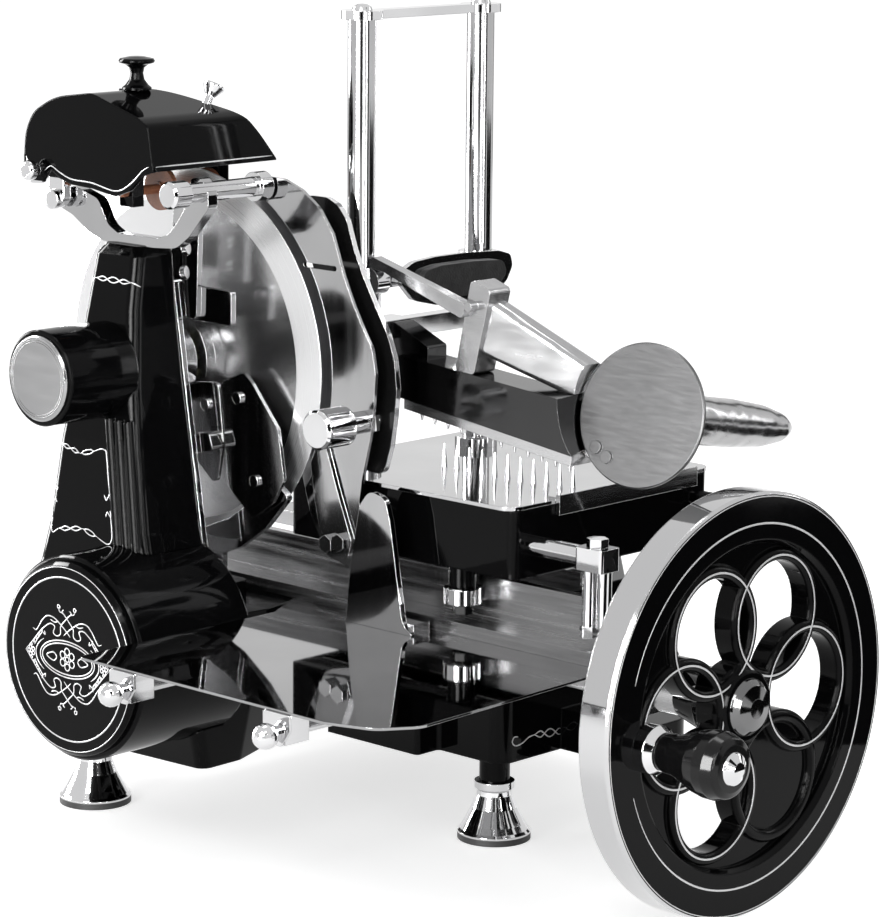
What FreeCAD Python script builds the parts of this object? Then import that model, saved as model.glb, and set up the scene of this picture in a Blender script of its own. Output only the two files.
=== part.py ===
"""Hand cranked flywheel meat slicer, modelled as a parametric FreeCAD document.

Machine axes: +X runs from the receiving side to the food side, -Y points at the operator, +Z is up.
Lengths are millimetres. Every height and depth is measured from the centre of the blade, and each
sub-part is moved by the same shift, so that the finished machine stands centred on the floor.
"""
import FreeCAD
import Part
import math
import os
import re
from FreeCAD import Placement, Rotation, Vector

doc = FreeCAD.newDocument("MeatSlicer")
sheet = doc.addObject("Spreadsheet::Sheet", "Sizes")
names = []
pieces = []

TURN_TO_X = Rotation(Vector(0, 1, 0), 90)
TURN_TO_Y = Rotation(Vector(1, 0, 0), -90)
TURNS = {"X": TURN_TO_X, "Y": TURN_TO_Y, "Z": Rotation()}
PLANES = {
    "XY": Rotation(),
    "YZ": Rotation(Vector(0, 1, 0), Vector(0, 0, 1), Vector(1, 0, 0)),
    "XZ": Rotation(Vector(1, 0, 0), Vector(0, 0, 1), Vector(0, -1, 0)),
}
NORMALS = {"XY": "z", "YZ": "x", "XZ": "y"}


# ---------------------------------------------------------------- document helpers

def size(name, number, meaning):
    """Writes one driving size in the sheet and returns its value."""
    names.append(name)
    row = len(names)
    sheet.set(f"A{row}", meaning)
    sheet.set(f"B{row}", str(number))
    sheet.setAlias(f"B{row}", name)
    return number


def formula(text):
    """Turns an expression in the names of sizes into one that reads the sheet."""
    return re.sub(r"[a-z][a-z_0-9]*", lambda m: f"Sizes.{m[0]}" if m[0] in names else m[0], str(text))


def bind(item, **sizes):
    for name, text in sizes.items():
        item.setExpression(name, formula(text))
    return item


def put(item, x=0, y=0, z=0, turn=None):
    """Places an object, with each coordinate bound to the sheet."""
    if turn is not None:
        item.Placement = Placement(Vector(), turn)
    for axis, text in (("x", x), ("y", y), ("z", z)):
        item.setExpression(f"Placement.Base.{axis}", formula(text))
    return item


def box(name, x, y, z, length, width, height):
    item = doc.addObject("Part::Box", name)
    bind(item, Length=length, Width=width, Height=height)
    return put(item, x, y, z)


def cylinder(name, radius, height, x=0, y=0, z=0, axis="Z"):
    item = doc.addObject("Part::Cylinder", name)
    bind(item, Radius=radius, Height=height)
    return put(item, x, y, z, TURNS[axis])


def cone(name, radius_1, radius_2, height, x=0, y=0, z=0, axis="Z"):
    item = doc.addObject("Part::Cone", name)
    bind(item, Radius1=radius_1, Radius2=radius_2, Height=height)
    return put(item, x, y, z, TURNS[axis])


def dome(radius, steps):
    """The profile of a ball, as (radius, distance) points from pole to pole."""
    return [(radius * math.sin(math.pi * i / steps), -radius * math.cos(math.pi * i / steps))
            for i in range(1, steps)] + [(0, radius), (0, -radius)]


def hexagon(name, across, height, x=0, y=0, z=0, axis="Z"):
    """A hexagonal prism: a bolt head or a nut, by its width across the flats."""
    item = doc.addObject("Part::Prism", name)
    item.Polygon = 6
    bind(item, Circumradius=f"({across}) / 1.7320508", Height=height)
    return put(item, x, y, z, TURNS[axis])


def fuse(name, *items):
    item = doc.addObject("Part::MultiFuse", name)
    item.Shapes = list(items)
    return item


def cut(name, base, *tools):
    item = doc.addObject("Part::Cut", name)
    item.Base = base
    item.Tool = tools[0] if len(tools) == 1 else fuse(name + "_tools", *tools)
    return item


def common(name, first, second):
    item = doc.addObject("Part::Common", name)
    item.Base = first
    item.Tool = second
    return item


def rounded(points, radius):
    """Lines and tangent arcs around a closed outline. radius is one number, or one per corner."""
    count = len(points)
    radii = radius if isinstance(radius, (list, tuple)) else [radius] * count
    corners = []
    for i, point in enumerate(points):
        here = Vector(point[0], point[1], 0)
        back = Vector(*points[i - 1], 0) - here
        ahead = Vector(*points[(i + 1) % count], 0) - here
        half = back.getAngle(ahead) / 2
        reach = min(radii[i] / math.tan(half), 0.45 * back.Length, 0.45 * ahead.Length)
        if reach < 0.05 or abs(half - math.pi / 2) < 0.01:
            corners.append((here, None, here))
            continue
        back.normalize()
        ahead.normalize()
        bend = reach * math.tan(half)
        middle = (back + ahead).normalize()
        inside = here + middle * (bend / math.sin(half) - bend)
        corners.append((here + back * reach, inside, here + ahead * reach))
    geometry = []
    for i, (start, inside, end) in enumerate(corners):
        if inside is not None:
            geometry.append(Part.Arc(start, inside, end))
        following = corners[(i + 1) % count][0]
        if (following - end).Length > 1e-6:
            geometry.append(Part.LineSegment(end, following))
    return geometry


def outline(name, points, plane="XY", offset=0, radius=0):
    """A closed sketch on a plane parallel to two of the axes."""
    item = doc.addObject("Sketcher::SketchObject", name)
    item.addGeometry(rounded(points, radius), False)
    item.Placement = Placement(Vector(), PLANES[plane])
    item.setExpression(f"Placement.Base.{NORMALS[plane]}", formula(offset))
    return item


def extruded(name, sketch, length):
    item = doc.addObject("Part::Extrusion", name)
    item.Base = sketch
    item.DirMode = "Normal"
    item.Solid = True
    return bind(item, LengthFwd=length)


def plate(name, points, plane, offset, thickness, radius=0):
    """A flat plate that grows from offset along +X (YZ), along +Z (XY) or towards -Y (XZ)."""
    return extruded(name, outline(name + "_outline", points, plane, offset, radius), thickness)


def lofted(name, *sketches):
    item = doc.addObject("Part::Loft", name)
    item.Sections = list(sketches)
    item.Solid = True
    item.Ruled = True
    return item


def turned(name, profile, x=0, y=0, z=0, axis="Z", radius=0):
    """A turned part: (radius, distance along the axis) points, revolved."""
    sketch = outline(name + "_profile", profile, "XZ", 0, radius)
    item = doc.addObject("Part::Revolution", name)
    item.Source = sketch
    item.Axis = Vector(0, 0, 1)
    item.Angle = 360
    item.Solid = True
    return put(item, x, y, z, TURNS[axis])


def between(name, start, end, radius):
    """A round bar from one point to another."""
    item = doc.addObject("Part::Cylinder", name)
    bind(item, Radius=radius)
    run = Vector(*end) - Vector(*start)
    item.Height = run.Length
    item.Placement = Placement(Vector(*start), Rotation(Vector(0, 0, 1), run))
    return item


def piece(label, *items):
    """Closes one sub-part and moves it from the blade's centre to the machine's own frame."""
    item = doc.addObject("Part::Compound", "Piece_" + label)
    item.Label = label
    item.Links = list(items)
    put(item, origin_x, origin_y, "blade_height")
    pieces.append(item)
    return item


def aimed(item, start, direction):
    """Points an object's own Z axis along a direction, starting from a point."""
    item.Placement = Placement(Vector(*start), Rotation(Vector(0, 0, 1), Vector(*direction)))
    for axis, value in zip("xyz", start):
        item.setExpression(f"Placement.Base.{axis}", f"{value:.6f}")
    return item


def star(count, tip, root):
    """The corners of a toothed wheel: two at each tip and two at each root."""
    corners = []
    for i in range(count):
        for share, radius in ((0.0, root), (0.3, tip), (0.5, tip), (0.8, root)):
            angle = 2 * math.pi * (i + share) / count
            corners.append((radius * math.cos(angle), radius * math.sin(angle)))
    return corners


# ---------------------------------------------------------------- driving sizes

# Overall places, from the centre of the blade
blade_height = size("blade_height", 400.5, "Centre of the blade above the floor")
tray_level = size("tray_level", 193, "Top of the receiving tray below the blade's centre")
tray_left = size("tray_left", 231, "Left edge of the tray from the blade's plane")
tray_knob_reach = size("tray_knob_reach", 23, "Reach of the tray's knobs past its left edge")
base_right = size("base_right", 385, "Right side of the base from the blade's plane")
stand = size("stand", 70.5, "Underside of the base above the floor")
leg_root = size("leg_root", 29.5, "Length of a leg inside the base")
gap = size("gap", 0.3, "Clearance between neighbours that move past each other")
running = size("running", 0.05, "Radial clearance of a running fit")

# Blade, its shaft and its housing
blade_radius = size("blade_radius", 159.5, "Radius of the blade")
blade_half = size("blade_half", 2, "Half the thickness of the blade")
bevel_inner = size("bevel_inner", 135, "Radius where the blade's bevel starts")
blade_bore = size("blade_bore", 15, "Radius of the blade's bore")
hub_flange_radius = size("hub_flange_radius", 40, "Radius of the flange that carries the blade")
hub_flange_back = size("hub_flange_back", 12, "Back of the flange from the blade's plane")
blade_screw_circle = size("blade_screw_circle", 28, "Radius of the circle of blade screws")
blade_shaft_radius = size("blade_shaft_radius", 9, "Radius of the blade's shaft")
blade_journal_radius = size("blade_journal_radius", 12, "Radius of the journal beside the blade")
housing_face = size("housing_face", 157, "Left end of the blade shaft housing from the blade's plane")
housing_radius = size("housing_radius", 39, "Radius of the blade shaft housing")
housing_bore = size("housing_bore", 30, "Radius of the housing's bearing seat")
housing_seat = size("housing_seat", 86, "Seat of the housing in the column, from the blade's plane")
cap_radius = size("cap_radius", 34.8, "Radius of the chrome cap")
cap_thickness = size("cap_thickness", 3, "Thickness of the chrome cap")
bearing_width = size("bearing_width", 12, "Width of the blade's bearings")
near_bearing_radius = size("near_bearing_radius", 24, "Outer radius of the bearing beside the blade")

# Column and chain drive
column_face = size("column_face", 36, "Right face of the column from the blade's plane")
cover_thickness = size("cover_thickness", 5, "Thickness of the chain cover")
pocket_depth = size("pocket_depth", 48, "Depth of the chain pocket in the column")
chain_plane = size("chain_plane", 70, "Middle of the chain from the blade's plane")
chain_width = size("chain_width", 6, "Width of the chain")
chain_thickness = size("chain_thickness", 4, "Thickness of the chain")
chain_gap = size("chain_gap", 0.5, "Clearance between chain and sprocket teeth")
small_sprocket = size("small_sprocket", 15, "Tip radius of the blade's sprocket")
large_sprocket = size("large_sprocket", 30, "Tip radius of the driving sprocket")
drive_y = size("drive_y", 35.35, "Cross shaft in front of the blade's centre")
drive_z = size("drive_z", 224.64, "Both drive shafts below the blade's centre")
case_radius = size("case_radius", 84, "Outer radius of the gear case")
case_wall = size("case_wall", 8, "Wall of the gear case")
case_left = size("case_left", 155, "Left end of the gear case from the blade's plane")
drum_lip = size("drum_lip", 4.5, "Edge of the gear case outside the drum cover")
drum_thickness = size("drum_thickness", 7, "Thickness of the drum cover")
saddle_gap = size("saddle_gap", 0.2, "Clearance between the gear case and the castings around it")

# Drive shafts
cross_shaft_radius = size("cross_shaft_radius", 9, "Radius of the cross shaft")
bush_wall = size("bush_wall", 3, "Wall of the shaft bushes")
wheel_shaft_radius = size("wheel_shaft_radius", 10, "Radius of the flywheel's shaft")
wheel_x = size("wheel_x", 113.5, "Flywheel's axis from the blade's plane")
bevel_gear_radius = size("bevel_gear_radius", 26, "Pitch radius of the bevel gear")
bevel_pinion_radius = size("bevel_pinion_radius", 13, "Pitch radius of the bevel pinion")
bevel_face = size("bevel_face", 8, "Face width of the bevels along their shafts")

# Flywheel
wheel_front = size("wheel_front", 515.4, "Front face of the flywheel in front of the blade's centre")
wheel_radius = size("wheel_radius", 168, "Radius of the flywheel")
rim_depth = size("rim_depth", 29.5, "Depth of the flywheel's rim")
rim_inner = size("rim_inner", 128, "Inner radius of the flywheel's rim")
web_thickness = size("web_thickness", 12, "Thickness of the flywheel's web")
web_recess = size("web_recess", 8, "Web behind the front of the rim")
ring_circle = size("ring_circle", 75, "Radius of the circle of flywheel rings")
ring_inner = size("ring_inner", 43, "Inner radius of a flywheel ring")
ring_width = size("ring_width", 10, "Width of a flywheel ring")
ring_thickness = size("ring_thickness", 20, "Thickness of a flywheel ring")
ring_recess = size("ring_recess", 3, "Rings behind the front of the rim")
ring_start = size("ring_start", 2, "Angle of the first flywheel ring")
ring_count = 6
hub_radius = size("hub_radius", 34, "Radius of the flywheel's hub")
hub_back = size("hub_back", 455, "Back of the flywheel's hub in front of the blade's centre")
wheel_cap_radius = size("wheel_cap_radius", 23, "Radius of the flywheel's chrome cap")
crank_circle = size("crank_circle", 121, "Handle's distance from the flywheel's axis")
crank_angle = size("crank_angle", 184, "Angle of the handle round the flywheel")
grip_end = size("grip_end", 603, "Front end of the handle in front of the blade's centre")
grip_radius = size("grip_radius", 26, "Largest radius of the handle's grip")

# Carriage, rails and table
rail_top = size("rail_top", 182, "Running face of the rails below the blade's centre")
rail_front = size("rail_front", 440, "Front end of the left rail")
rail_rear = size("rail_rear", 140, "Rear end of both rails")
carriage_left = size("carriage_left", 24, "Left side of the carriage")
carriage_right = size("carriage_right", 262, "Right side of the carriage")
carriage_front = size("carriage_front", 350, "Front of the carriage")
carriage_rear = size("carriage_rear", 100, "Rear of the carriage")
carriage_bottom = size("carriage_bottom", 138, "Underside of the carriage below the blade's centre")
table_top = size("table_top", 80, "Top of the table below the blade's centre")
table_thickness = size("table_thickness", 3, "Thickness of the table")
wheel_size = size("wheel_size", 13, "Radius of the carriage wheels")
guide_drop = size("guide_drop", 17, "Length of the spacer above the guide roller")
axle_radius = size("axle_radius", 6, "Radius of the carriage axles")
screw_radius = size("screw_radius", 5, "Radius of the feed screw")
screw_drop = size("screw_drop", 100, "Feed screw below the blade's centre")
screw_y = size("screw_y", 196, "Feed screw in front of the blade's centre")

# Press
press_rod_radius = size("press_rod_radius", 11.5, "Radius of the press guide rods")
press_rod_left = size("press_rod_left", 56, "Left guide rod from the blade's plane")
press_rod_right = size("press_rod_right", 196, "Right guide rod from the blade's plane")
press_rod_y = size("press_rod_y", 150, "Guide rods in front of the blade's centre")
press_rod_top = size("press_rod_top", 285, "Top of the guide rods above the blade's centre")
bridge_thickness = size("bridge_thickness", 7, "Thickness of the bridge on the guide rods")
tie_rod_reach = size("tie_rod_reach", 80, "Left end of the tie rod from the blade's plane")
guard_disc_radius = size("guard_disc_radius", 57, "Radius of the hand guard")

# Guards and gauge
guard_plane = size("guard_plane", 8, "Left face of the guard plate from the blade's plane")
guard_thickness = size("guard_thickness", 3, "Thickness of the guard plate")
gauge_plane = size("gauge_plane", 22, "Left face of the gauge plate from the blade's plane")
gauge_thickness = size("gauge_thickness", 5, "Thickness of the gauge plate")
gauge_y = size("gauge_y", 200, "Gauge knob in front of the blade's centre")
gauge_drop = size("gauge_drop", 30, "Gauge knob below the blade's centre")
gauge_stud_radius = size("gauge_stud_radius", 6, "Radius of the gauge's stud")

# Feet
foot_radius = size("foot_radius", 31, "Radius of a foot")
foot_height = size("foot_height", 50, "Height of a foot's bell")
boss_radius = size("boss_radius", 13, "Radius of the leg above a foot")
stud_radius = size("stud_radius", 5, "Radius of a foot's stud")
FEET = {
    "foot_rear_left": (-16, 99),
    "foot_front_left": (150, -218),
    "foot_rear_right": (366, 60),
    "foot_front_right": (238, -300),
}

origin_x = f"(tray_left + tray_knob_reach - {FEET['foot_rear_right'][0]} - foot_radius) / 2"
origin_y = "(grip_end - blade_radius) / 2"


# ---------------------------------------------------------------- base and column

def pockets():
    """Coring pockets under the base, each small enough to leave ribs between them."""
    columns = ((168, 66), (244, 68))
    rows = ((11, 62), (-71, 72), (-153, 72))
    cells = [(x, y, length, width) for x, length in columns for y, width in rows]
    cells += [(168, -231, 66, 68), (244, -231, 32, 68), (84, 11, 66, 62)]
    cells += [(-40, -50, 72, 54), (-40, 14, 72, 72), (46, -78, 30, 70), (46, 2, 30, 72)]
    return [box(f"pocket_{i}", x, y, "stand - blade_height - 1", length, width,
                "blade_height - stand - tray_level - 15")
            for i, (x, y, length, width) in enumerate(cells)]


def base_casting():
    height = "blade_height - stand - tray_level - 2"
    right = plate("base_right_part", [
        (104, -93), (104, -172), (130, -172), (130, -243), (285, -243),
        (base_right, -150), (base_right, 85), (104, 85),
    ], "XY", "stand - blade_height", height, (1, 4, 4, 14, 14, 30, 14, 1))
    middle = plate("base_middle", [(40, -88), (110, -93), (110, 85), (40, 100)], "XY", "-290",
                   "290 - tray_level - 2")
    foot = outline("base_left_foot", [
        (-59, 10), (-53, -78), (-10, -77), (44, -57), (44, 112), (-50, 112),
    ], "XY", "stand - blade_height", 10)
    brow = outline("base_left_brow", [
        (-100, 10), (-100, -100), (-10, -110), (60, -95), (60, 115), (-60, 115),
    ], "XY", "-tray_level - 2", 10)
    left = lofted("base_left_part", foot, brow)
    toe = plate("base_toe", [(205, -235), (205, -335), (272, -335), (272, -235)], "XY",
                "stand - blade_height", 35, (1, 25, 25, 1))
    legs = [cylinder(f"leg_{i}", "boss_radius", "stand - foot_height + leg_root", x, y,
                     "foot_height - blade_height")
            for i, (x, y) in enumerate(FEET.values())]
    nose = cylinder("shaft_nose", 24, 112, "wheel_x", -172, "-drive_z", "Y")
    solid = fuse("base_solid", right, middle, left, toe, nose, *legs)
    gear_room = box("gear_room", 85, -66, "stand - blade_height - 1", 58, 60,
                    "blade_height - stand - tray_level - 5")
    case_room = cylinder("case_room", "case_radius + saddle_gap", "200 - column_face", -200,
                         "-drive_y", "-drive_z", "X")
    brow_room = box("brow_room", "-column_face - 100", -130, "-drive_z", 100, 260, 60)
    cross_bore = cylinder("cross_bore", "cross_shaft_radius + bush_wall", 140, "-column_face - 2",
                          "-drive_y", "-drive_z", "X")
    wheel_bore = cylinder("wheel_bore", "wheel_shaft_radius + bush_wall + 1", 120, "wheel_x", -175,
                          "-drive_z", "Y")
    studs = [cylinder(f"stud_hole_{i}", "stud_radius + gap", 36, x, y, "foot_height - blade_height")
             for i, (x, y) in enumerate(FEET.values())]
    tube_room = cylinder("tube_room", 24.5, 100, "wheel_x", -272, "-drive_z", "Y")
    body = cut("base_body", solid, *pockets(), gear_room, case_room, brow_room, cross_bore,
               wheel_bore, tube_room, *studs)
    piece("base_casting", body)


def feet():
    bells = []
    for name, (x, y) in FEET.items():
        bells.append(turned(name + "_bell", [
            (0, 0), (foot_radius, 0), (foot_radius, 7), (29, 9), (26, 14), (19, 27), (15, 38),
            (14.5, foot_height - 8), (17, foot_height - 6), (17, foot_height),
            (stud_radius, foot_height), (stud_radius, foot_height + 30), (0, foot_height + 30),
        ], x, y, "-blade_height"))
    piece("feet", *bells)


COLUMN = (
    (-195, -106, 80), (-165, -104, 68), (-130, -102, 58), (-60, -98, 47), (-10, -92, 38),
    (50, -84, 30), (92, -76, 27), (100, -70, 23),
)


def column():
    right = -column_face
    sections = [outline(f"column_section_{i}", [(x, -half), (right, -half), (right, half), (x, half)],
                        "XY", z, (9, 3, 3, 9))
                for i, (z, x, half) in enumerate(COLUMN)]
    shell = lofted("column_shell", *sections)
    flutes = [between(f"flute_{i}", (-96.5, y, -38), (-102.5, y - 18, -170), 4.5)
              for i, y in enumerate((-16, -27, -38))]
    flange = plate("column_foot", [(-60, -60), (18, -60), (18, 92), (-60, 92)], "XY",
                   "-tray_level - 2", 12, 8)
    solid = fuse("column_solid", shell, flange, *flutes)
    room = plate("chain_pocket", [(-23, 10), (-14, 23), (14, 23), (23, 10), (14, -165), (-62, -165)],
                 "YZ", "-column_face - pocket_depth", "pocket_depth + 1", 4)
    saddle = cylinder("saddle", "case_radius + saddle_gap", "200 - column_face", -200,
                      "-drive_y", "-drive_z", "X")
    seat = cylinder("housing_seat_bore", "housing_radius", "200 - housing_seat", -200, 0, 0, "X")
    shaft_hole = cylinder("column_shaft_hole", "blade_shaft_radius + 3", 60, -100, 0, 0, "X")
    piece("column_housing", cut("column_body", solid, room, saddle, seat, shaft_hole))

    lid = plate("chain_lid", [(-26, 72), (26, 72), (38, -5), (62, -168), (-64, -168), (-38, -5)],
                "YZ", "-column_face", "cover_thickness", 5)
    sleeve = cylinder("bearing_sleeve", 36, 17, "-column_face", 0, 0, "X")
    seat = cylinder("near_bearing_seat", "near_bearing_radius", 30, "-column_face + 3", 0, 0, "X")
    hole = cylinder("near_shaft_hole", "blade_journal_radius + 3", 60, "-column_face - 10", 0, 0, "X")
    piece("chain_cover", cut("chain_cover_body", fuse("chain_cover_solid", lid, sleeve), seat, hole))


def gear_case():
    inner = case_radius - case_wall
    length = case_left - column_face
    bore = cross_shaft_radius + bush_wall
    shell = turned("case_shell", [
        (inner, 0), (case_radius - 2, 0), (case_radius, 2), (case_radius, length), (bore, length),
        (bore, length - 22), (20, length - 22), (20, length - 8), (inner, length - 8),
    ], "-case_left", "-drive_y", "-drive_z", "X")
    slot = box("chain_slot", -86, -62, "-drive_z + 40", 34, 72, 60)
    piece("gear_case", cut("gear_case_body", shell, slot))
    edge = case_radius - drum_lip
    cover = turned("drum_disc", [
        (0, 0), (edge - 3, 0), (edge, 3), (edge, drum_thickness),
        (inner - gap, drum_thickness), (inner - gap, drum_thickness + 5), (inner - 6, drum_thickness + 5),
        (inner - 6, 4), (0, 4),
    ], "-case_left - drum_thickness", "-drive_y", "-drive_z", "X")
    piece("drum_cover", cover)


def shaft_housing():
    length = housing_face - housing_seat
    seat_depth = bearing_width + 11
    body = turned("housing_body", [
        (housing_bore, 0), (housing_radius - 1, 0), (housing_radius, 1), (housing_radius, length),
        (20, length), (20, seat_depth), (housing_bore, seat_depth),
    ], "-housing_face", 0, 0, "X")
    piece("blade_shaft_housing", body)
    cap = turned("cap_disc", [
        (0, 0), (cap_radius - 1.5, 0), (cap_radius, 1.5), (cap_radius, cap_thickness),
        (housing_bore - gap, cap_thickness), (housing_bore - gap, cap_thickness + 4), (0, cap_thickness + 4),
    ], "-housing_face - cap_thickness", 0, 0, "X")
    piece("housing_cap", cap)


# ---------------------------------------------------------------- blade and drive

def ring(name, outer, inner, length, x=0, y=0, z=0, axis="Z"):
    """A plain tube."""
    return cut(name, cylinder(name + "_outside", outer, length, x, y, z, axis),
               cylinder(name + "_inside", inner, length, x, y, z, axis))


def blade_group():
    far = ring("far_bearing", "housing_bore - 0.02", "blade_shaft_radius + running", "bearing_width",
               "-housing_face + 10", 0, 0, "X")
    near = ring("near_bearing", "near_bearing_radius - 0.02", "blade_journal_radius + running",
                "bearing_width", "-column_face + 3.3", 0, 0, "X")
    bearings = [far, near]

    start = -housing_face + 9
    shaft = turned("blade_shaft_turning", [
        (0, start), (blade_shaft_radius, start), (blade_shaft_radius, -column_face - 4),
        (blade_journal_radius, -column_face - 4), (blade_journal_radius, -hub_flange_back),
        (hub_flange_radius, -hub_flange_back), (hub_flange_radius, -blade_half),
        (blade_bore - running, -blade_half), (blade_bore - running, blade_half), (0, blade_half),
    ], 0, 0, 0, "X")
    piece("blade_shaft", shaft)

    blade = turned("blade_turning", [
        (blade_bore, -blade_half), (bevel_inner, -blade_half), (blade_radius, blade_half - 0.5),
        (blade_radius, blade_half), (blade_radius - 12, blade_half), (blade_radius - 16, blade_half - 1),
        (hub_flange_radius + 16, blade_half - 1), (hub_flange_radius + 12, blade_half),
        (blade_bore, blade_half),
    ], 0, 0, 0, "X")
    piece("blade", blade)
    heads = []
    for i in range(4):
        angle = math.radians(45 + 90 * i)
        y = f"blade_screw_circle * {math.cos(angle):.6f}"
        z = f"blade_screw_circle * {math.sin(angle):.6f}"
        heads.append(cylinder(f"blade_screw_{i}", 5, 2.5, "blade_half", y, z, "X"))
    piece("blade_screws", *heads)
    return bearings


def sprocket(name, teeth, tip, bore, y, z):
    wheel = plate(name + "_teeth", star(teeth, tip, tip - 3), "YZ", 0, "chain_width")
    put(wheel, "-chain_plane - chain_width / 2", y, z)
    hole = cylinder(name + "_bore", bore, 40, "-chain_plane - 20", y, z, "X")
    return cut(name + "_body", wheel, hole)


def belt_shape(name, grow):
    """The closed shape round both sprockets, grown outwards by a distance."""
    small = small_sprocket + grow
    large = large_sprocket + grow
    run = Vector(-drive_y, -drive_z, 0)
    lean = math.acos((large - small) / run.Length)
    towards = math.atan2(run.y, run.x)
    sides = [towards + math.pi - lean, towards + math.pi + lean]
    points = [(small * math.cos(a), small * math.sin(a)) for a in sides]
    points += [(run.x + large * math.cos(a), run.y + large * math.sin(a)) for a in reversed(sides)]
    start = "-chain_plane - chain_width / 2"
    web = plate(name + "_sides", points, "YZ", start, "chain_width")
    upper = cylinder(name + "_upper", f"small_sprocket + {grow}", "chain_width", start, 0, 0, "X")
    lower = cylinder(name + "_lower", f"large_sprocket + {grow}", "chain_width", start,
                     "-drive_y", "-drive_z", "X")
    return fuse(name, web, upper, lower)


def chain_drive():
    piece("blade_sprocket", sprocket("blade_sprocket", 12, small_sprocket,
                                     "blade_shaft_radius + running", 0, 0))
    driving = sprocket("drive_sprocket", 24, large_sprocket, "cross_shaft_radius - 1", "-drive_y", "-drive_z")
    outside = belt_shape("chain_outside", chain_gap + chain_thickness)
    piece("drive_chain", cut("chain_loop", outside, belt_shape("chain_inside", chain_gap)))
    return driving


def drive_shafts(bearings, driving):
    seat = "wheel_x - bevel_gear_radius - 2.5"
    cross = cylinder("cross_bar", "cross_shaft_radius", f"120 + {seat}", -120, "-drive_y", "-drive_z", "X")
    nose = cylinder("cross_nose", 5, "bevel_face + 2", seat, "-drive_y", "-drive_z", "X")
    left = ring("cross_bush_left", "cross_shaft_radius + bush_wall - 0.02",
                "cross_shaft_radius + running", 20, "-column_face - 20", "-drive_y", "-drive_z", "X")
    right = ring("cross_bush_right", "cross_shaft_radius + bush_wall - 0.02",
                 "cross_shaft_radius + running", 22, 56, "-drive_y", "-drive_z", "X")

    ratio = bevel_pinion_radius / bevel_gear_radius
    slack = 0.4
    pinion = turned("bevel_pinion_cone", [
        (0, 0), (bevel_pinion_radius - slack, 0),
        (bevel_pinion_radius - slack - bevel_face * ratio, bevel_face), (0, bevel_face),
    ], "wheel_x - bevel_gear_radius", "-drive_y", "-drive_z", "X")
    piece("cross_shaft", fuse("cross_shaft_body", cross, nose, pinion, driving))
    bore = wheel_shaft_radius - 1
    gear = turned("bevel_gear_cone", [
        (bore, -8), (bore + 5, -8), (bore + 5, -3), (bevel_gear_radius - slack, -3),
        (bevel_gear_radius - slack, 0), (bevel_gear_radius - slack - bevel_face, bevel_face * ratio),
        (bore, bevel_face * ratio),
    ], "wheel_x", "-drive_y - bevel_pinion_radius", "-drive_z", "Y")

    nose = turned("wheel_shaft_turning", [
        (0, -wheel_front + 4), (wheel_shaft_radius, -wheel_front + 4),
        (wheel_shaft_radius, -drive_y - bevel_pinion_radius + 3), (0, -drive_y - bevel_pinion_radius + 3),
    ], "wheel_x", 0, "-drive_z", "Y")
    piece("flywheel_shaft", fuse("flywheel_shaft_body", nose, gear))
    outer = wheel_shaft_radius + bush_wall + 4
    inner = wheel_shaft_radius + bush_wall
    tube = turned("wheel_tube", [
        (inner, -hub_back + 1), (outer + 2, -hub_back + 1), (outer + 2, -hub_back + 22),
        (outer, -hub_back + 26), (outer, -184), (24, -178), (24, -172), (inner, -172),
    ], "wheel_x", 0, "-drive_z", "Y")
    spigots = [cylinder(f"rod_boss_{i}", 8, 25, "wheel_x - 26", y, "-drive_z + 14", "X")
               for i, y in enumerate((-350, -181))]
    shaft_room = cylinder("wheel_tube_bore", inner, 400, "wheel_x", -500, "-drive_z", "Y")
    rod_holes = [cylinder(f"rod_boss_bore_{i}", "5 + running", 12, "wheel_x - 27", y, "-drive_z + 14", "X")
                 for i, y in enumerate((-350, -181))]
    solid = fuse("wheel_housing_solid", tube, *spigots)
    piece("flywheel_shaft_housing", cut("wheel_housing_body", solid, shaft_room, *rod_holes))
    bushes = [ring(f"wheel_bush_{i}", "wheel_shaft_radius + bush_wall - 0.02",
                   "wheel_shaft_radius + running", 24, "wheel_x", y, "-drive_z", "Y")
              for i, y in enumerate(("-hub_back + 2", -196))]
    piece("bearings", left, right, *bushes, *bearings)


# ---------------------------------------------------------------- flywheel

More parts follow.
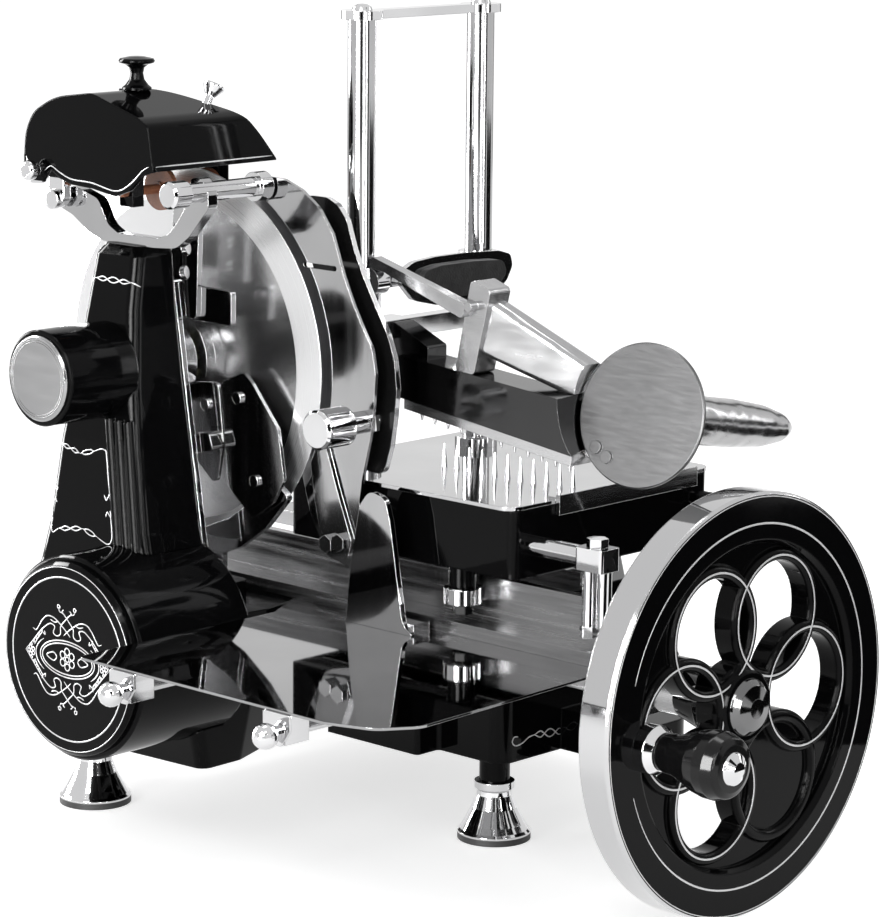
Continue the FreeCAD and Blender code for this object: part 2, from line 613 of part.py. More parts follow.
def flywheel():
    back = -wheel_front + rim_depth
    face = -wheel_front + web_recess
    rim = turned("wheel_rim", [
        (rim_inner, -wheel_front + 4), (rim_inner + 3, -wheel_front), (wheel_radius - 2, -wheel_front),
        (wheel_radius, -wheel_front + 2), (wheel_radius, back - 2), (wheel_radius - 2, back),
        (rim_inner, back),
    ], "wheel_x", 0, "-drive_z", "Y")
    web = cylinder("wheel_web", "rim_inner + 1", "web_thickness", "wheel_x", face, "-drive_z", "Y")
    discs = []
    rings = []
    outer = ring_inner + ring_width
    near = -wheel_front + ring_recess
    for i in range(ring_count):
        angle = math.radians(ring_start + 60 * i)
        x = f"wheel_x + ring_circle * {math.cos(angle):.6f}"
        z = f"-drive_z + ring_circle * {math.sin(angle):.6f}"
        hoop = turned(f"wheel_ring_{i}", [
            (ring_inner, near), (outer, near), (outer, near + ring_thickness),
            (ring_inner, near + ring_thickness),
        ], x, 0, z, "Y", (4, 4, 1, 1))
        rings.append(hoop)
        if i < ring_count - 1:
            discs.append(cylinder(f"wheel_opening_{i}", ring_inner + 1, 80, x, -560, z, "Y"))
    weight = cylinder("wheel_weight", ring_inner + 1, "web_thickness + 4",
                      f"wheel_x + ring_circle * {math.cos(math.radians(ring_start - 60)):.6f}", face,
                      f"-drive_z + ring_circle * {math.sin(math.radians(ring_start - 60)):.6f}", "Y")
    web = cut("wheel_web_open", web, *discs)
    hub = turned("wheel_hub", [
        (0, -wheel_front + 1), (27, -wheel_front + 1), (30, -wheel_front + 4), (hub_radius, -wheel_front + 9),
        (hub_radius, back - 4), (27, back + 6), (20, -hub_back), (0, -hub_back),
    ], "wheel_x", 0, "-drive_z", "Y")
    angle = math.radians(crank_angle)
    crank_x = f"wheel_x + crank_circle * {math.cos(angle):.6f}"
    crank_z = f"-drive_z + crank_circle * {math.sin(angle):.6f}"
    pad = cylinder("crank_pad", 17, 22, crank_x, -wheel_front, crank_z, "Y")
    bore = cylinder("wheel_bore_hole", "wheel_shaft_radius + running", 70, "wheel_x",
                    -wheel_front + 4 - running, "-drive_z", "Y")
    solid = fuse("wheel_solid", rim, web, weight, hub, pad, *rings)
    thread = cylinder("crank_thread", 6 + running, 40, crank_x, -wheel_front - 2, crank_z, "Y")
    piece("flywheel", cut("wheel_body", solid, bore, thread))
    cap = turned("wheel_cap", [
        (0, -9), (8, -8.6), (18, -6), (wheel_cap_radius - 1, -2), (wheel_cap_radius, 0), (0, 0),
    ], "wheel_x", "-wheel_front + 1", "-drive_z", "Y")
    piece("flywheel_cap", cap)

    reach = grip_end - wheel_front
    spindle = turned("crank_spindle", [
        (0, -reach), (6, -reach + 0.5), (12, -reach + 4), (13, -reach + 6), (6, -reach + 6), (6, -16),
        (15, -16), (19, -10), (19, 0), (6, 0), (6, 18), (0, 18),
    ], crank_x, "-wheel_front", crank_z, "Y")
    piece("handle_spindle", spindle)
    tail = -reach + 6 + gap
    grip = turned("crank_grip", [
        (6 + running, -16 - gap), (14, -16 - gap), (15, -20), (16, -30), (20, -42), (24, -52),
        (grip_radius, -62), (grip_radius, -70), (23, tail + 2), (18, tail), (6 + running, tail),
    ], crank_x, "-wheel_front", crank_z, "Y", (0, 1, 4, 20, 20, 10, 6, 6, 3, 1, 0))
    piece("handle_grip", grip)


# ---------------------------------------------------------------- tray, rails and guards

def tray_group():
    tray = plate("tray_sheet", [
        (-tray_left, -128), (-tray_left, -398), (-218, -436), (-190, -455), (8, -446), (84, -440),
        (84, -96), (40, -96), (-20, -128),
    ], "XY", "-tray_level - 2", 2, (6, 20, 20, 20, 4, 4, 4, 20, 10))
    piece("receiving_tray", tray)
    rear = cylinder("tray_rod_rear", 5, "wheel_x - 15.2 + tray_left - 12", "-tray_left + 12",
                    -181, "-drive_z + 14", "X")
    front = cylinder("tray_rod_front", 5, "wheel_x - 15.2 + tray_left - 12", "-tray_left + 12", -350,
                     "-drive_z + 14", "X")
    tabs = []
    screws = []
    for name, y in (("rear", -181), ("front", -350)):
        lip = box(f"tab_{name}_lip", "-tray_left", y - 14, "-tray_level - 4", 26, 28, 2)
        leg = plate(f"tab_{name}_leg", [(y - 14, -195), (y - 14, -207), (y - 5, -220), (y + 5, -220),
                                        (y + 14, -207), (y + 14, -195)], "YZ", "-tray_left - 2", 2, 2)
        block = box(f"tab_{name}_block", "-tray_left", y - 8, -219, 24, 16, 22)
        thread = cylinder(f"tab_{name}_thread", "3 + running", 12, "-tray_left - 4", y, "-drive_z + 14", "X")
        rod = rear if name == "rear" else front
        tabs.append(cut(f"tab_{name}", fuse(f"tab_{name}_solid", lip, leg, block, rod), thread))
        head = turned(f"tray_knob_{name}", dome(10, 12), "-tray_left - tray_knob_reach + 10", y,
                      "-drive_z + 14", "X")
        neck = cylinder(f"tray_neck_{name}", 6, 6, "-tray_left - 8", y, "-drive_z + 14", "X")
        stem = cylinder(f"tray_stem_{name}", 3, 14, "-tray_left - 6", y, "-drive_z + 14", "X")
        screws.append(fuse(f"tray_screw_{name}", head, neck, stem))
    piece("tray_supports", *tabs)
    return screws


def rails():
    flange = box("rail_flange", 26, "-rail_front", "-tray_level", 52, "rail_front + rail_rear",
                 "tray_level - rail_top")
    web = box("rail_web", 55, "-rail_front", "-rail_top - 1", 8, "rail_front + rail_rear", 35)
    piece("right_rail", box("right_rail_bar", 230, -240, "-tray_level - 2", 34, "240 + rail_rear",
                            "tray_level - rail_top + 2"))
    arm = plate("rail_arm", [
        (30, -195), (30, -207), (76, -215), (90, -246), (137, -246), (137, -200), (100, -195),
    ], "XZ", -405, 20, 4)
    hole = cylinder("rail_arm_bore", "wheel_shaft_radius + bush_wall + 4 + saddle_gap", 40, "wheel_x", -430,
                    "-drive_z", "Y")
    piece("left_rail", cut("left_rail_body", fuse("left_rail_solid", flange, web, arm), hole))


GUARD_OUTER = (
    (-70, 158), (-110, 157), (-130, 150), (-150, 137), (-165, 118), (-178, 85), (-188, 65), (-200, 45),
    (-210, 30), (-214, 10), (-212, -20), (-208, -45), (-200, -75), (-196, -100), (-230, -112),
    (-230, -152), (-190, -152),
)
GUARD_INNER = ((-160, -145), (-140, -110), (-128, -70), (-135, -20), (-132, 30), (-110, 80), (-70, 130))
GAUGE_OUTER = (
    (-120, 144), (-145, 144), (-157, 139), (-167, 128), (-175, 106), (-185, 86), (-200, 61),
    (-213, 41), (-221, 21), (-224, -4), (-222, -24), (-218, -49), (-210, -74),
)
GAUGE_INNER = ((-186, -72), (-160, -50), (-150, 0), (-140, 60), (-120, 110))


def guards():
    stand = plate("stand_plate", [
        (-191, -193), (-266, -193), (-254, -185), (-240, -105), (-234, -86), (-217, -82), (-206, -95),
        (-197, -140),
    ], "YZ", -1, 5, (1, 1, 20, 30, 10, 10, 20, 30))
    foot = box("stand_foot", 4, -262, -193, 18, 68, 8)
    spacer = box("stand_spacer", 3, -228, -147, "guard_plane - 3", 18, 28)
    piece("guard_stand", fuse("stand_body", stand, foot, spacer))

    sheet_part = plate("guard_sheet", GUARD_OUTER + GUARD_INNER, "YZ", "guard_plane", "guard_thickness",
                       (8,) + (14,) * 12 + (6, 4, 4, 4) + (10,) * 6 + (4,))
    slot = plate("guard_slot", [(-133, 88), (-170, 88), (-170, 92), (-133, 92)], "YZ", "guard_plane - 1",
                 "guard_thickness + 2", 1.9)
    hole = cylinder("guard_stud_hole", "gauge_stud_radius + running", 10, "guard_plane - 2", "-gauge_y",
                    "-gauge_drop", "X")
    doubler = plate("guard_arm_plate", [(-142, -50), (-160, -48), (-176, -90), (-192, -128), (-188, -144),
                                        (-160, -142), (-150, -100)], "YZ", "guard_plane - 4", 4, 6)
    piece("guard_plate", cut("guard_plate_body", fuse("guard_plate_solid", sheet_part, doubler), slot, hole))

    face = plate("gauge_face", GAUGE_OUTER + GAUGE_INNER, "YZ", "gauge_plane", "gauge_thickness",
                 (8,) + (14,) * 11 + (10, 10) + (14,) * 3 + (8,))
    stud = cylinder("gauge_stud_bar", "gauge_stud_radius", "gauge_plane + 8", -6, "-gauge_y",
                    "-gauge_drop", "X")
    piece("gauge_plate", fuse("gauge_plate_body", face, stud))

    barrel = turned("gauge_barrel", [
        (0, -45), (14, -45), (16, -43), (16, -14), (14, -12), (9, -11), (9, guard_plane - gap),
        (gauge_stud_radius + running, guard_plane - gap), (gauge_stud_radius + running, -20), (0, -20),
    ], 0, "-gauge_y", "-gauge_drop", "X")
    flutes = []
    for i in range(8):
        angle = math.radians(45 * i)
        flutes.append(cylinder(f"gauge_flute_{i}", 3.2, 26, -41, f"-gauge_y + {17.5 * math.cos(angle):.4f}",
                               f"-gauge_drop + {17.5 * math.sin(angle):.4f}", "X"))
    piece("gauge_knob", cut("gauge_knob_body", barrel, *flutes))

    heads = [hexagon(f"guard_bolt_{i}", 13, 6, "guard_plane - 10", y, z, "X")
             for i, (y, z) in enumerate(((-168, -133), (-182, -130)))]
    nuts = hexagon("gauge_collar", 22, 5, "guard_plane + guard_thickness + gap", "-gauge_y",
                   "-gauge_drop", "X")
    lock_nut = cut("gauge_nut", nuts, cylinder("gauge_nut_bore", "gauge_stud_radius + running", 20,
                                             "guard_plane", "-gauge_y", "-gauge_drop", "X"))

    rod = cylinder("tie_rod_bar", 8, "tie_rod_reach + guard_plane", "-tie_rod_reach", -89, 150, "X")
    collar = ring("tie_rod_collar", 12, 8, 12, "guard_plane - 14", -89, 150, "X")
    piece("guard_tie_rod", fuse("tie_rod_body", rod, collar))
    knob = turned("tie_knob_turning", [
        (0, -20), (9, -20), (11, -18), (11, -2), (9, -gap), (0, -gap),
    ], "-tie_rod_reach", -89, 150, "X")
    piece("tie_rod_knob", knob)
    return [*heads, lock_nut]


def deflectors():
    inner = plate("deflector_inner", [(-16, -16), (-60, -12), (-66, -60), (-58, -100), (-30, -78), (-14, -44)],
                  "YZ", -18, 3, 6)
    outer = plate("deflector_outer", [
        (-62, -12), (-90, 0), (-100, -8), (-130, -42), (-137, -83), (-124, -104), (-100, -120),
        (-70, -96), (-68, -60),
    ], "YZ", -18, 3, 6)
    shaft_room = cylinder("deflector_shaft_room", "blade_journal_radius + 4", 20, -25, 0, 0, "X")
    strut = plate("deflector_strut", [(-34, -58), (-62, -52), (-68, -66), (-36, -74)], "YZ",
                  "-column_face + cover_thickness", "column_face - cover_thickness - 18", 4)
    piece("deflector_plate", cut("deflector_body", fuse("deflector_solid", inner, outer, strut), shaft_room,
                                 cylinder("sleeve_room", "36 + saddle_gap", 17.3, "-column_face", 0, 0, "X")))
    heads = [cylinder(f"deflector_screw_{i}", 5, 2.5, -20.5, y, z, "X")
             for i, (y, z) in enumerate(((-46, -32), (-84, -22), (-104, -88)))]
    arm = plate("upper_arm_bar", [(-14, 40), (-48, 40), (-52, 138), (-22, 138)], "YZ",
                "-column_face + cover_thickness", 5, 5)
    holes = [cylinder(f"upper_arm_hole_{i}", 6, 12, "-column_face + 2", y, z, "X")
             for i, (y, z) in enumerate(((-36, 97), (-34, 77), (-36, 117)))]
    scraper = plate("scraper_bar", [(-10, 38), (-84, 38), (-84, 66), (-10, 66)], "YZ",
                    "-column_face + cover_thickness + 5", 5, 3)
    piece("upper_arm", cut("upper_arm_body", fuse("upper_arm_solid", arm, scraper), *holes))
    heads += [cylinder(f"scraper_screw_{i}", 4.5, 2.5, "-column_face + cover_thickness + 10", y, z, "X")
              for i, (y, z) in enumerate(((-22, 58), (-74, 58)))]

    inside = []
    outside = []
    for angle in (216, 229, 242, 255):
        turn = math.radians(angle)
        inside.append((142 * math.cos(turn), 142 * math.sin(turn)))
        outside.append((168 * math.cos(turn), 168 * math.sin(turn)))
    band = plate("lower_guard_band", outside + inside[::-1], "YZ", -12, 6, 3)
    ear = plate("lower_guard_ear", [(-92.5, -88.8), (-102.8, -76.6), (-121.1, -92.1), (-110.8, -104.3)],
                "YZ", -15, 3, 3)
    leg = box("lower_guard_leg", -12, -58, "-tray_level + 10", 6, 22, 30)
    piece("lower_guard", fuse("lower_guard_body", band, ear, leg))
    return heads


# ---------------------------------------------------------------- sharpener

HOOD_LEFT = -100
HOOD_RIGHT = 36
HOOD_FACE = ((84, 165), (82, 188), (72, 205), (45, 219), (0, 225), (-58, 208), (-67, 203), (-73, 167))
HOOD_ROOF = ((-120, 225), (-42, 226), (-20, 221), (5, 206), (20, 190), (36, 168), (36, 120), (-120, 120))
HOOD_PIVOT = (74, 131)
STONE_Y = 15
STONE_Z = 140
KNOB_X = -51
KNOB_SEAT = 224.8
KNOB_SHANK = 4
BUTTON_SEAT = (-8, -36, 213)
BUTTON_AXIS = (0.54, 0, 0.84)


def inset(points, distance, centre):
    """Moves the points of an outline towards a centre, by the same distance in each direction."""
    moved = []
    for a, b in points:
        shift_a = distance if a < centre[0] else -distance
        shift_b = distance if b < centre[1] else -distance
        moved.append((a + shift_a, b + shift_b))
    return moved


def sharpener():
    fork = plate("fork_plate", [
        (-34, 100), (-60, 102), (-74, 112), (-98, 138), (-98, 150), (-89, 162), (-78, 160), (-74, 140),
        (-62, 124), (-50, 112), (-36, 108), (10, 108), (22, 114), (34, 134), (62, 142), (84, 138),
        (84, 124), (66, 118), (46, 106), (28, 100),
    ], "YZ", -64, 10, (1, 20, 20, 6, 6, 8, 4, 10, 14, 14, 8, 8, 14, 12, 12, 8, 8, 14, 14, 1))
    rod_hole = cylinder("fork_rod_hole", 8 + 0.05, 40, -80, -89, 150, "X")
    pin_hole = cylinder("fork_pin_hole", 5 + 0.05, 40, -80, *HOOD_PIVOT, "X")
    piece("sharpener_fork", cut("fork_body", fork, rod_hole, pin_hole))
    pin = turned("hood_pin_turning", [
        (0, -80), (8, -80), (8, -75 - 0.3), (5, -75 - 0.3), (5, -52), (0, -52),
    ], 0, *HOOD_PIVOT, "X")

    wall = 3.5
    middle = (0, 120)
    outside = common("hood_outside", plate("hood_face", HOOD_FACE, "YZ", HOOD_LEFT, HOOD_RIGHT - HOOD_LEFT,
                                           (1, 38, 33, 90, 30, 36, 9, 1)),
                     plate("hood_roof", HOOD_ROOF, "XZ", 120, 240, (1, 60, 70, 85, 110, 8, 1, 1)))
    face = inset(HOOD_FACE, wall, middle)
    face[0] = (face[0][0], 110)
    face[-1] = (face[-1][0], 110)
    roof = inset(HOOD_ROOF, wall, (-20, 100))
    inside = common("hood_inside", plate("hood_face_inside", face, "YZ", HOOD_LEFT + wall,
                                         HOOD_RIGHT - HOOD_LEFT - 2 * wall, (1, 34, 29, 86, 28, 32, 7, 1)),
                    plate("hood_roof_inside", roof, "XZ", 120, 240, (1, 56, 66, 80, 100, 6, 1, 1)))
    apron = plate("hood_apron", [
        (84, 170), (84, 160), (76, 146), (62, 147), (52, 160), (40, 153), (25, 149), (0, 148),
        (-28, 144), (-45, 150), (-60, 163), (-73, 167), (-73, 172),
    ], "YZ", HOOD_LEFT, wall, (1, 4, 4, 5, 6, 6, 6, 10, 10, 10, 6, 1, 1))
    lug = plate("hood_lug", [(64, 131), (64, 188), (80.5, 188), (84, 131), (74, 121)],
                "YZ", -75, 8, (6, 1, 1, 6, 8))
    button_hole = aimed(cylinder("button_hole", 4.3, 30),
                        [a - 12 * b for a, b in zip(BUTTON_SEAT, BUTTON_AXIS)],
                        BUTTON_AXIS)
    carriers = []
    for name, start, y in (("left", -50, STONE_Y), ("right", 17, -STONE_Y)):
        block = box(f"carrier_{name}", start, y - 8, 128, 12, 16, 110)
        carriers.append(common(f"carrier_{name}_trimmed", block,
                               plate(f"carrier_{name}_limit", [(-119, 100), (-119, 223), (-42, 224), (-20, 219),
                                                               (5, 204), (34, 168), (34, 100)],
                                     "XZ", 120, 240)))
    bore_left = cylinder("carrier_bore_left", 4.05, 20, -54, STONE_Y, STONE_Z, "X")
    bore_right = cylinder("carrier_bore_right", 4.05, 20, 14, -STONE_Y, STONE_Z, "X")
    knob_hole = cylinder("hood_knob_hole", f"{KNOB_SHANK} + running", 40, KNOB_X, 0, 200, "Z")
    shell = cut("hood_shell", outside, inside)
    latch = turned("latch_turning", [
        (0, -114), (6, -114), (8, -112), (8, -107), (4, -105), (4, -99), (0, -99),
    ], 0, 66, 158, "X")
    body = cut("hood_body", fuse("hood_solid", shell, apron, lug, *carriers), button_hole, knob_hole,
               bore_left, bore_right)
    piece("sharpener_hood", fuse("hood_with_pin", body, pin, latch))

    left = turned("stone_left", [
        (0, -56), (4, -56), (4, -16), (6, -16), (6, -14), (18, -14), (18, -9), (14, -5), (0, -5),
    ], 0, STONE_Y, STONE_Z, "X")
    right = turned("stone_right", [
        (0, 5), (14, 5), (18, 9), (18, 14), (6, 14), (6, 16), (4, 16), (4, 30), (0, 30),
    ], 0, -STONE_Y, STONE_Z, "X")
    piece("grinding_stone", left)
    piece("honing_stone", right)
    knob = turned("hood_knob_turning", [
        (0, 212), (KNOB_SHANK, 212), (KNOB_SHANK, KNOB_SEAT), (12, KNOB_SEAT), (12, 226.6), (9.5, 228.6),
        (6.2, 233), (5.2, 238), (6.2, 242.5), (9.5, 245), (14.2, 246.6), (14.8, 248.2), (13.6, 250),
        (6, 251.6), (0, 252),
    ], KNOB_X, 0, 0, "Z")
    piece("hood_knob", knob)
    button = turned("button_turning", [
        (0, -12), (4, -12), (4, 7), (6, 10), (9, 15), (9, 17), (0, 18),
    ])
    piece("stone_button", aimed(button, BUTTON_SEAT, BUTTON_AXIS))


# ---------------------------------------------------------------- carriage

def table_knob():
    """The small round handle on the front of the carriage."""
    front = -carriage_front
    return turned("table_knob_turning", [
        (0, front - 22), (6, front - 22), (7, front - 20), (7, front - 10), (5, front - 8), (4, front - 6),
        (4, front + 2), (0, front + 2),
    ], 240, 0, -102, "Y")


def carriage():
    length = "carriage_right - carriage_left"
    width = "carriage_front - carriage_rear"
    depth = "carriage_bottom - table_top - table_thickness - gap"
    block = plate("carriage_block", [
        (carriage_left, -carriage_front), (carriage_right, -carriage_front),
        (carriage_right, -carriage_rear), (carriage_left, -carriage_rear),
    ], "XY", "-carriage_bottom", depth, 8)
    rooms = []
    for i, (x, span) in enumerate(((56, 44), (108, 68), (184, 68))):
        rooms.append(box(f"carriage_room_{i}", x, "8 - carriage_front", "-carriage_bottom - 1", span,
                         "carriage_front - carriage_rear - 16", 46))
    groove = box("screw_groove", 32, "-screw_y - 8", "-screw_drop - 8", 222, 16, 60)
    bore = cylinder("screw_bore", "screw_radius + running", 300, 20, "-screw_y", "-screw_drop", "X")
    lugs = []
    for i, y in enumerate((-225, -115)):
        for x in (99, 175):
            lugs.append(plate(f"axle_lug_{i}_{x:.0f}", [(y - 12, -130), (y - 12, -168), (y - 6, -179),
                                                        (y + 6, -179), (y + 12, -168), (y + 12, -130)],
                              "YZ", x, 10, 3))
    axles = [cylinder(f"axle_bore_{i}", "axle_radius + running", 200, 70, y, "wheel_size - rail_top", "X")
             for i, y in enumerate((-225, -115))]
    for name, y in (("front_wheelset", -225), ("rear_wheelset", -115)):
        axle = cylinder(name + "_axle", "axle_radius", 188, 65, y, "wheel_size - rail_top", "X")
        left = cylinder(name + "_left", "wheel_size - gap", 11, 65, y, "wheel_size - rail_top", "X")
        right = cylinder(name + "_right", "wheel_size - gap", 14, 239, y, "wheel_size - rail_top", "X")
        piece(name, fuse(name + "_body", axle, left, right))
    studs = []
    for name, y in (("guide_roller", -282),):
        low = -carriage_bottom - guide_drop
        spacer = cylinder(name + "_spacer", 11.5, "guide_drop", 39, y, low)
        stem = cylinder(name + "_stem", 5, 23, 39, y, low - 23)
        nut = hexagon(name + "_nut", 15, 8, 39, y, low - 22.5)
        studs.append(fuse(name + "_stud", spacer, stem, nut))
        roller = turned(name + "_turning", [
            (5 + running, low - 14.2), (14.5, low - 14.2), (15.5, low - 13.2), (15.5, low - 1 - gap),
            (14.5, low - gap), (5 + running, low - gap),
        ], 39, y, 0)
        piece(name, roller)

    solid = fuse("carriage_solid", cut("carriage_cored", block, *rooms), *lugs, *studs, table_knob())
    piece("carriage", cut("carriage_body", solid, groove, bore, *axles))
    screw = turned("feed_screw_turning", [
        (0, 28), (screw_radius, 28), (screw_radius, 266), (15, 266), (16, 268), (16, 284),
        (14, 286), (0, 286),
    ], 0, "-screw_y", "-screw_drop", "X")
    piece("feed_screw", screw)
    rod = cylinder("push_bar", 8, 56, 44, "-carriage_front - 56", -112, "Y")
    end = plate("push_end_block", [(33, -432), (55, -432), (55, -404), (33, -404)], "XY", -121, 18, 3)
    head = hexagon("push_end_bolt", 15, 7, 44, -418, -103)
    pins = [cylinder(f"push_pin_{i}", 6, 45, 44, y, -166) for i, y in enumerate((-411, -425.5))]
    nut = hexagon("push_end_nut", 13, 9, 44, -411, -175)
    piece("push_rod", fuse("push_rod_body", rod, end, head, nut, *pins))


def table():
    top = plate("table_sheet", [
        (20, -carriage_front), (268, -carriage_front), (268, -carriage_rear), (20, -carriage_rear),
    ], "XY", "-table_top - table_thickness", "table_thickness", (14, 14, 4, 4))
    nut = plate("feed_nut_block", [
        (f, g) for f, g in ((-screw_y - 7, -screw_drop - 7), (-screw_y + 7, -screw_drop - 7),
                            (-screw_y + 7, -table_top - 2), (-screw_y - 7, -table_top - 2))
    ], "YZ", 60, 30, 1)
    bore = cylinder("feed_nut_bore", "screw_radius + running", 60, 50, "-screw_y", "-screw_drop", "X")
    fence = box("fence_bar", 72, "-carriage_front - 4 - gap", -92, 170, 4, 16)
    lip = box("fence_lip", 72, "-carriage_front - 4 - gap", "-table_top - 1", 170, 12, 3)
    solid = fuse("table_solid", top, nut, fence, lip)
    piece("carriage_table", cut("table_body", solid, bore))
    spikes = [cone(f"table_spike_{i}", 2.6, 0.6, 20, 106, -338 + 14 * i, "-table_top") for i in range(11)]
    piece("table_spikes", *spikes)

    rods = [cylinder(f"press_rod_{i}", "press_rod_radius", "press_rod_top + table_top", x, "-press_rod_y",
                     "-table_top")
            for i, x in enumerate(("press_rod_left", "press_rod_right"))]
    collars = [cylinder(f"rod_collar_{i}", 18, 8, x, "-press_rod_y", "-table_top")
               for i, x in enumerate(("press_rod_left", "press_rod_right"))]
    piece("press_rods", *[fuse(f"press_post_{i}", rod, collar)
                          for i, (rod, collar) in enumerate(zip(rods, collars))])
    bar = box("bridge_bar", "press_rod_left", "-press_rod_y - 8", "press_rod_top",
              "press_rod_right - press_rod_left", 16, "bridge_thickness")
    bosses = [cylinder(f"bridge_boss_{i}", 17, "bridge_thickness", x, "-press_rod_y", "press_rod_top")
              for i, x in enumerate(("press_rod_left", "press_rod_right"))]
    domes = [turned(f"bridge_screw_{i}", [(0, 0), (8.5, 0), (7.5, 3), (4, 5), (0, 5.5)], x, "-press_rod_y",
                    "press_rod_top + bridge_thickness")
             for i, x in enumerate(("press_rod_left", "press_rod_right"))]
    piece("rod_bridge", fuse("bridge_body", bar, *bosses, *domes))


# ---------------------------------------------------------------- press

DISC_CENTRE = (95, -416, -7)
DISC_AXIS = (0.965, 0.108, -0.233)
HANDLE_AXIS = (0.983, 0.0, -0.18)


def press():
    sleeves = []
    rooms = []
    for i, x in enumerate(("press_rod_left", "press_rod_right")):
        sleeves.append(cylinder(f"press_sleeve_{i}", 17, 60, x, "-press_rod_y", 26))
        rooms.append(cylinder(f"press_bore_{i}", "press_rod_radius + running", 90, x, "-press_rod_y", 10))
    beam = box("press_beam", "press_rod_left", "-press_rod_y - 26", 28,
               "press_rod_right - press_rod_left", 14, 15)
    neck = plate("press_neck", [(56, -176), (92, -176), (92, -150), (56, -150)], "XY", 28, 15, 3)
    upper = box("press_upper_beam", "press_rod_left", "-press_rod_y - 24", 70,
                "press_rod_right - press_rod_left", 10, 10)
    boss = cylinder("clamp_boss", 11, 14, 50, "-press_rod_y - 15", 75, "X")
    solid = fuse("press_slide_solid", beam, neck, upper, boss, *sleeves)
    piece("press_slide", cut("press_slide_body", solid, *rooms))

    bar = plate("press_bar_side", [(-186, 18), (-186, -17), (-396, -43), (-400, -39), (-400, -3), (-394, 0)],
                "YZ", 60, 34, (6, 6, 3, 3, 5, 6))
    post = plate("press_post", [(-192, 0), (-216, 0), (-216, 26), (-176.3, 43), (-176.3, 14)],
                 "YZ", 66, 22, 2)
    piece("press_bar", cut("press_bar_body", fuse("press_bar_solid", bar, post), disc_side("bar_trim")))
    strip = plate("press_strip_side", [(-192, -18), (-192, -27), (-372, -49.3), (-372, -40.3)], "YZ", 64, 26)
    teeth = []
    for i in range(12):
        y = -200 - 14.5 * i
        z = -27 - (-y - 192) * 22.3 / 180
        teeth.append(cone(f"press_tooth_{i}", 0.7, 2.8, 11, 77, y, z - 9))
    solid = fuse("press_strip_solid", strip, *teeth)
    piece("press_strip", cut("press_strip_body", solid, disc_side("strip_trim")))

    block = plate("link_block", [(-252, 12.5), (-272, 10.8), (-289, 80), (-268, 87)], "YZ", 60, 24, 4)
    brace = plate("press_brace_bar", [(-164.3, 96), (-164.3, 86.3), (-180, 84), (-266, 56), (-269, 68)],
                  "YZ", 52, 10, 3)
    tie = cylinder("press_brace_pin", 4, 20, 52, -272, 66, "X")
    piece("press_link", fuse("press_link_body", block, brace, tie))
    rear = outline("arm_rear", [(64, 26), (64, 76), (82, 76), (82, 26)], "XZ", -276, 7)
    front = outline("arm_front", [(90, -14), (90, 12), (112, 12), (112, -14)], "XZ", -398, 5)
    arm = lofted("press_arm_cone", rear, front)
    limit = plate("arm_limit", [(-288.6, 78), (-270.5, 4), (-262, -30), (-400, -30), (-400, 78)],
                  "YZ", 50, 80)
    solid = common("press_arm_solid", arm, limit)
    piece("press_arm", cut("press_arm_body", solid, disc_side("arm_trim"), arm_under()))


def disc_side(name):
    """The room in front of the back face of the hand guard, where nothing else may be."""
    axis = Vector(*DISC_AXIS)
    axis.normalize()
    start = Vector(*DISC_CENTRE) + axis * (4 + gap)
    return aimed(cylinder(name, guard_disc_radius + 2, 50), start, -axis)


def arm_under():
    """The press bar's room, which the arm passes over."""
    return plate("arm_under_side", [(-186, 18.3), (-186, -17), (-402, -44), (-402, -0.2)], "YZ", 59, 35.3)


def hand_guard():
    axis = Vector(*DISC_AXIS)
    axis.normalize()
    centre = Vector(*DISC_CENTRE)
    disc = turned("guard_disc_turning", [
        (0, 0), (guard_disc_radius - 1, 0), (guard_disc_radius, 1), (guard_disc_radius, 3),
        (guard_disc_radius - 1, 4), (0, 4),
    ])
    aimed(disc, centre, axis)
    heads = []
    for i, place in enumerate(((81.7, -381.3, -34.8), (82.5, -392.0, -41.4))):
        spot = Vector(*place)
        spot = spot - axis * (spot - centre).dot(axis)
        heads.append(aimed(cylinder(f"guard_head_{i}", 5, 3), spot - axis * 2.5, axis))
    piece("hand_guard", fuse("hand_guard_body", disc, *heads))
    grip = turned("guard_grip_turning", [
        (0, 0), (12, 0), (13, 4), (17, 25), (19.5, 70), (19.5, 110), (17, 150), (12, 175), (6, 187), (0, 190),
    ], radius=(0, 1, 10, 60, 60, 60, 60, 20, 8, 0))
    aimed(grip, centre, HANDLE_AXIS)
    piece("guard_handle", cut("guard_handle_body", grip, disc_side("grip_trim")))


def press_grip():
    spine = plate("grip_spine_plate", [
        (66, 82), (70, 72), (84, 58), (110, 52), (150, 50), (180, 54), (196, 64), (203, 76), (200, 86),
        (186, 90), (150, 92), (110, 92), (84, 90),
    ], "XZ", "-press_rod_y - 28", 5, (4, 8, 14, 30, 40, 20, 12, 8, 6, 14, 40, 40, 20))
    tongues = [box(f"grip_tongue_{i}", x, "-press_rod_y - 28", 74, 14, 4, 7) for i, x in enumerate((70, 182))]
    piece("lift_grip", fuse("lift_grip_body", spine, *tongues))
    scale = plate("grip_scale_plate", [
        (88, 66), (110, 59), (150, 57), (178, 61), (190, 72), (184, 83), (150, 85), (110, 85), (90, 82),
    ], "XZ", "-press_rod_y - 33", 6, (8, 20, 30, 14, 10, 8, 30, 30, 8))
    piece("lift_grip_scale", scale)


# ---------------------------------------------------------------- build and export

def build():
    base_casting()
    feet()
    column()
    gear_case()
    shaft_housing()
    bearings = blade_group()
    driving = chain_drive()
    drive_shafts(bearings, driving)
    flywheel()
    screws = tray_group()
    rails()
    screws += guards()
    screws += deflectors()
    piece("frame_screws", *screws)
    sharpener()
    carriage()
    table()
    press()
    hand_guard()
    press_grip()
    doc.recompute()
    check()
    export()


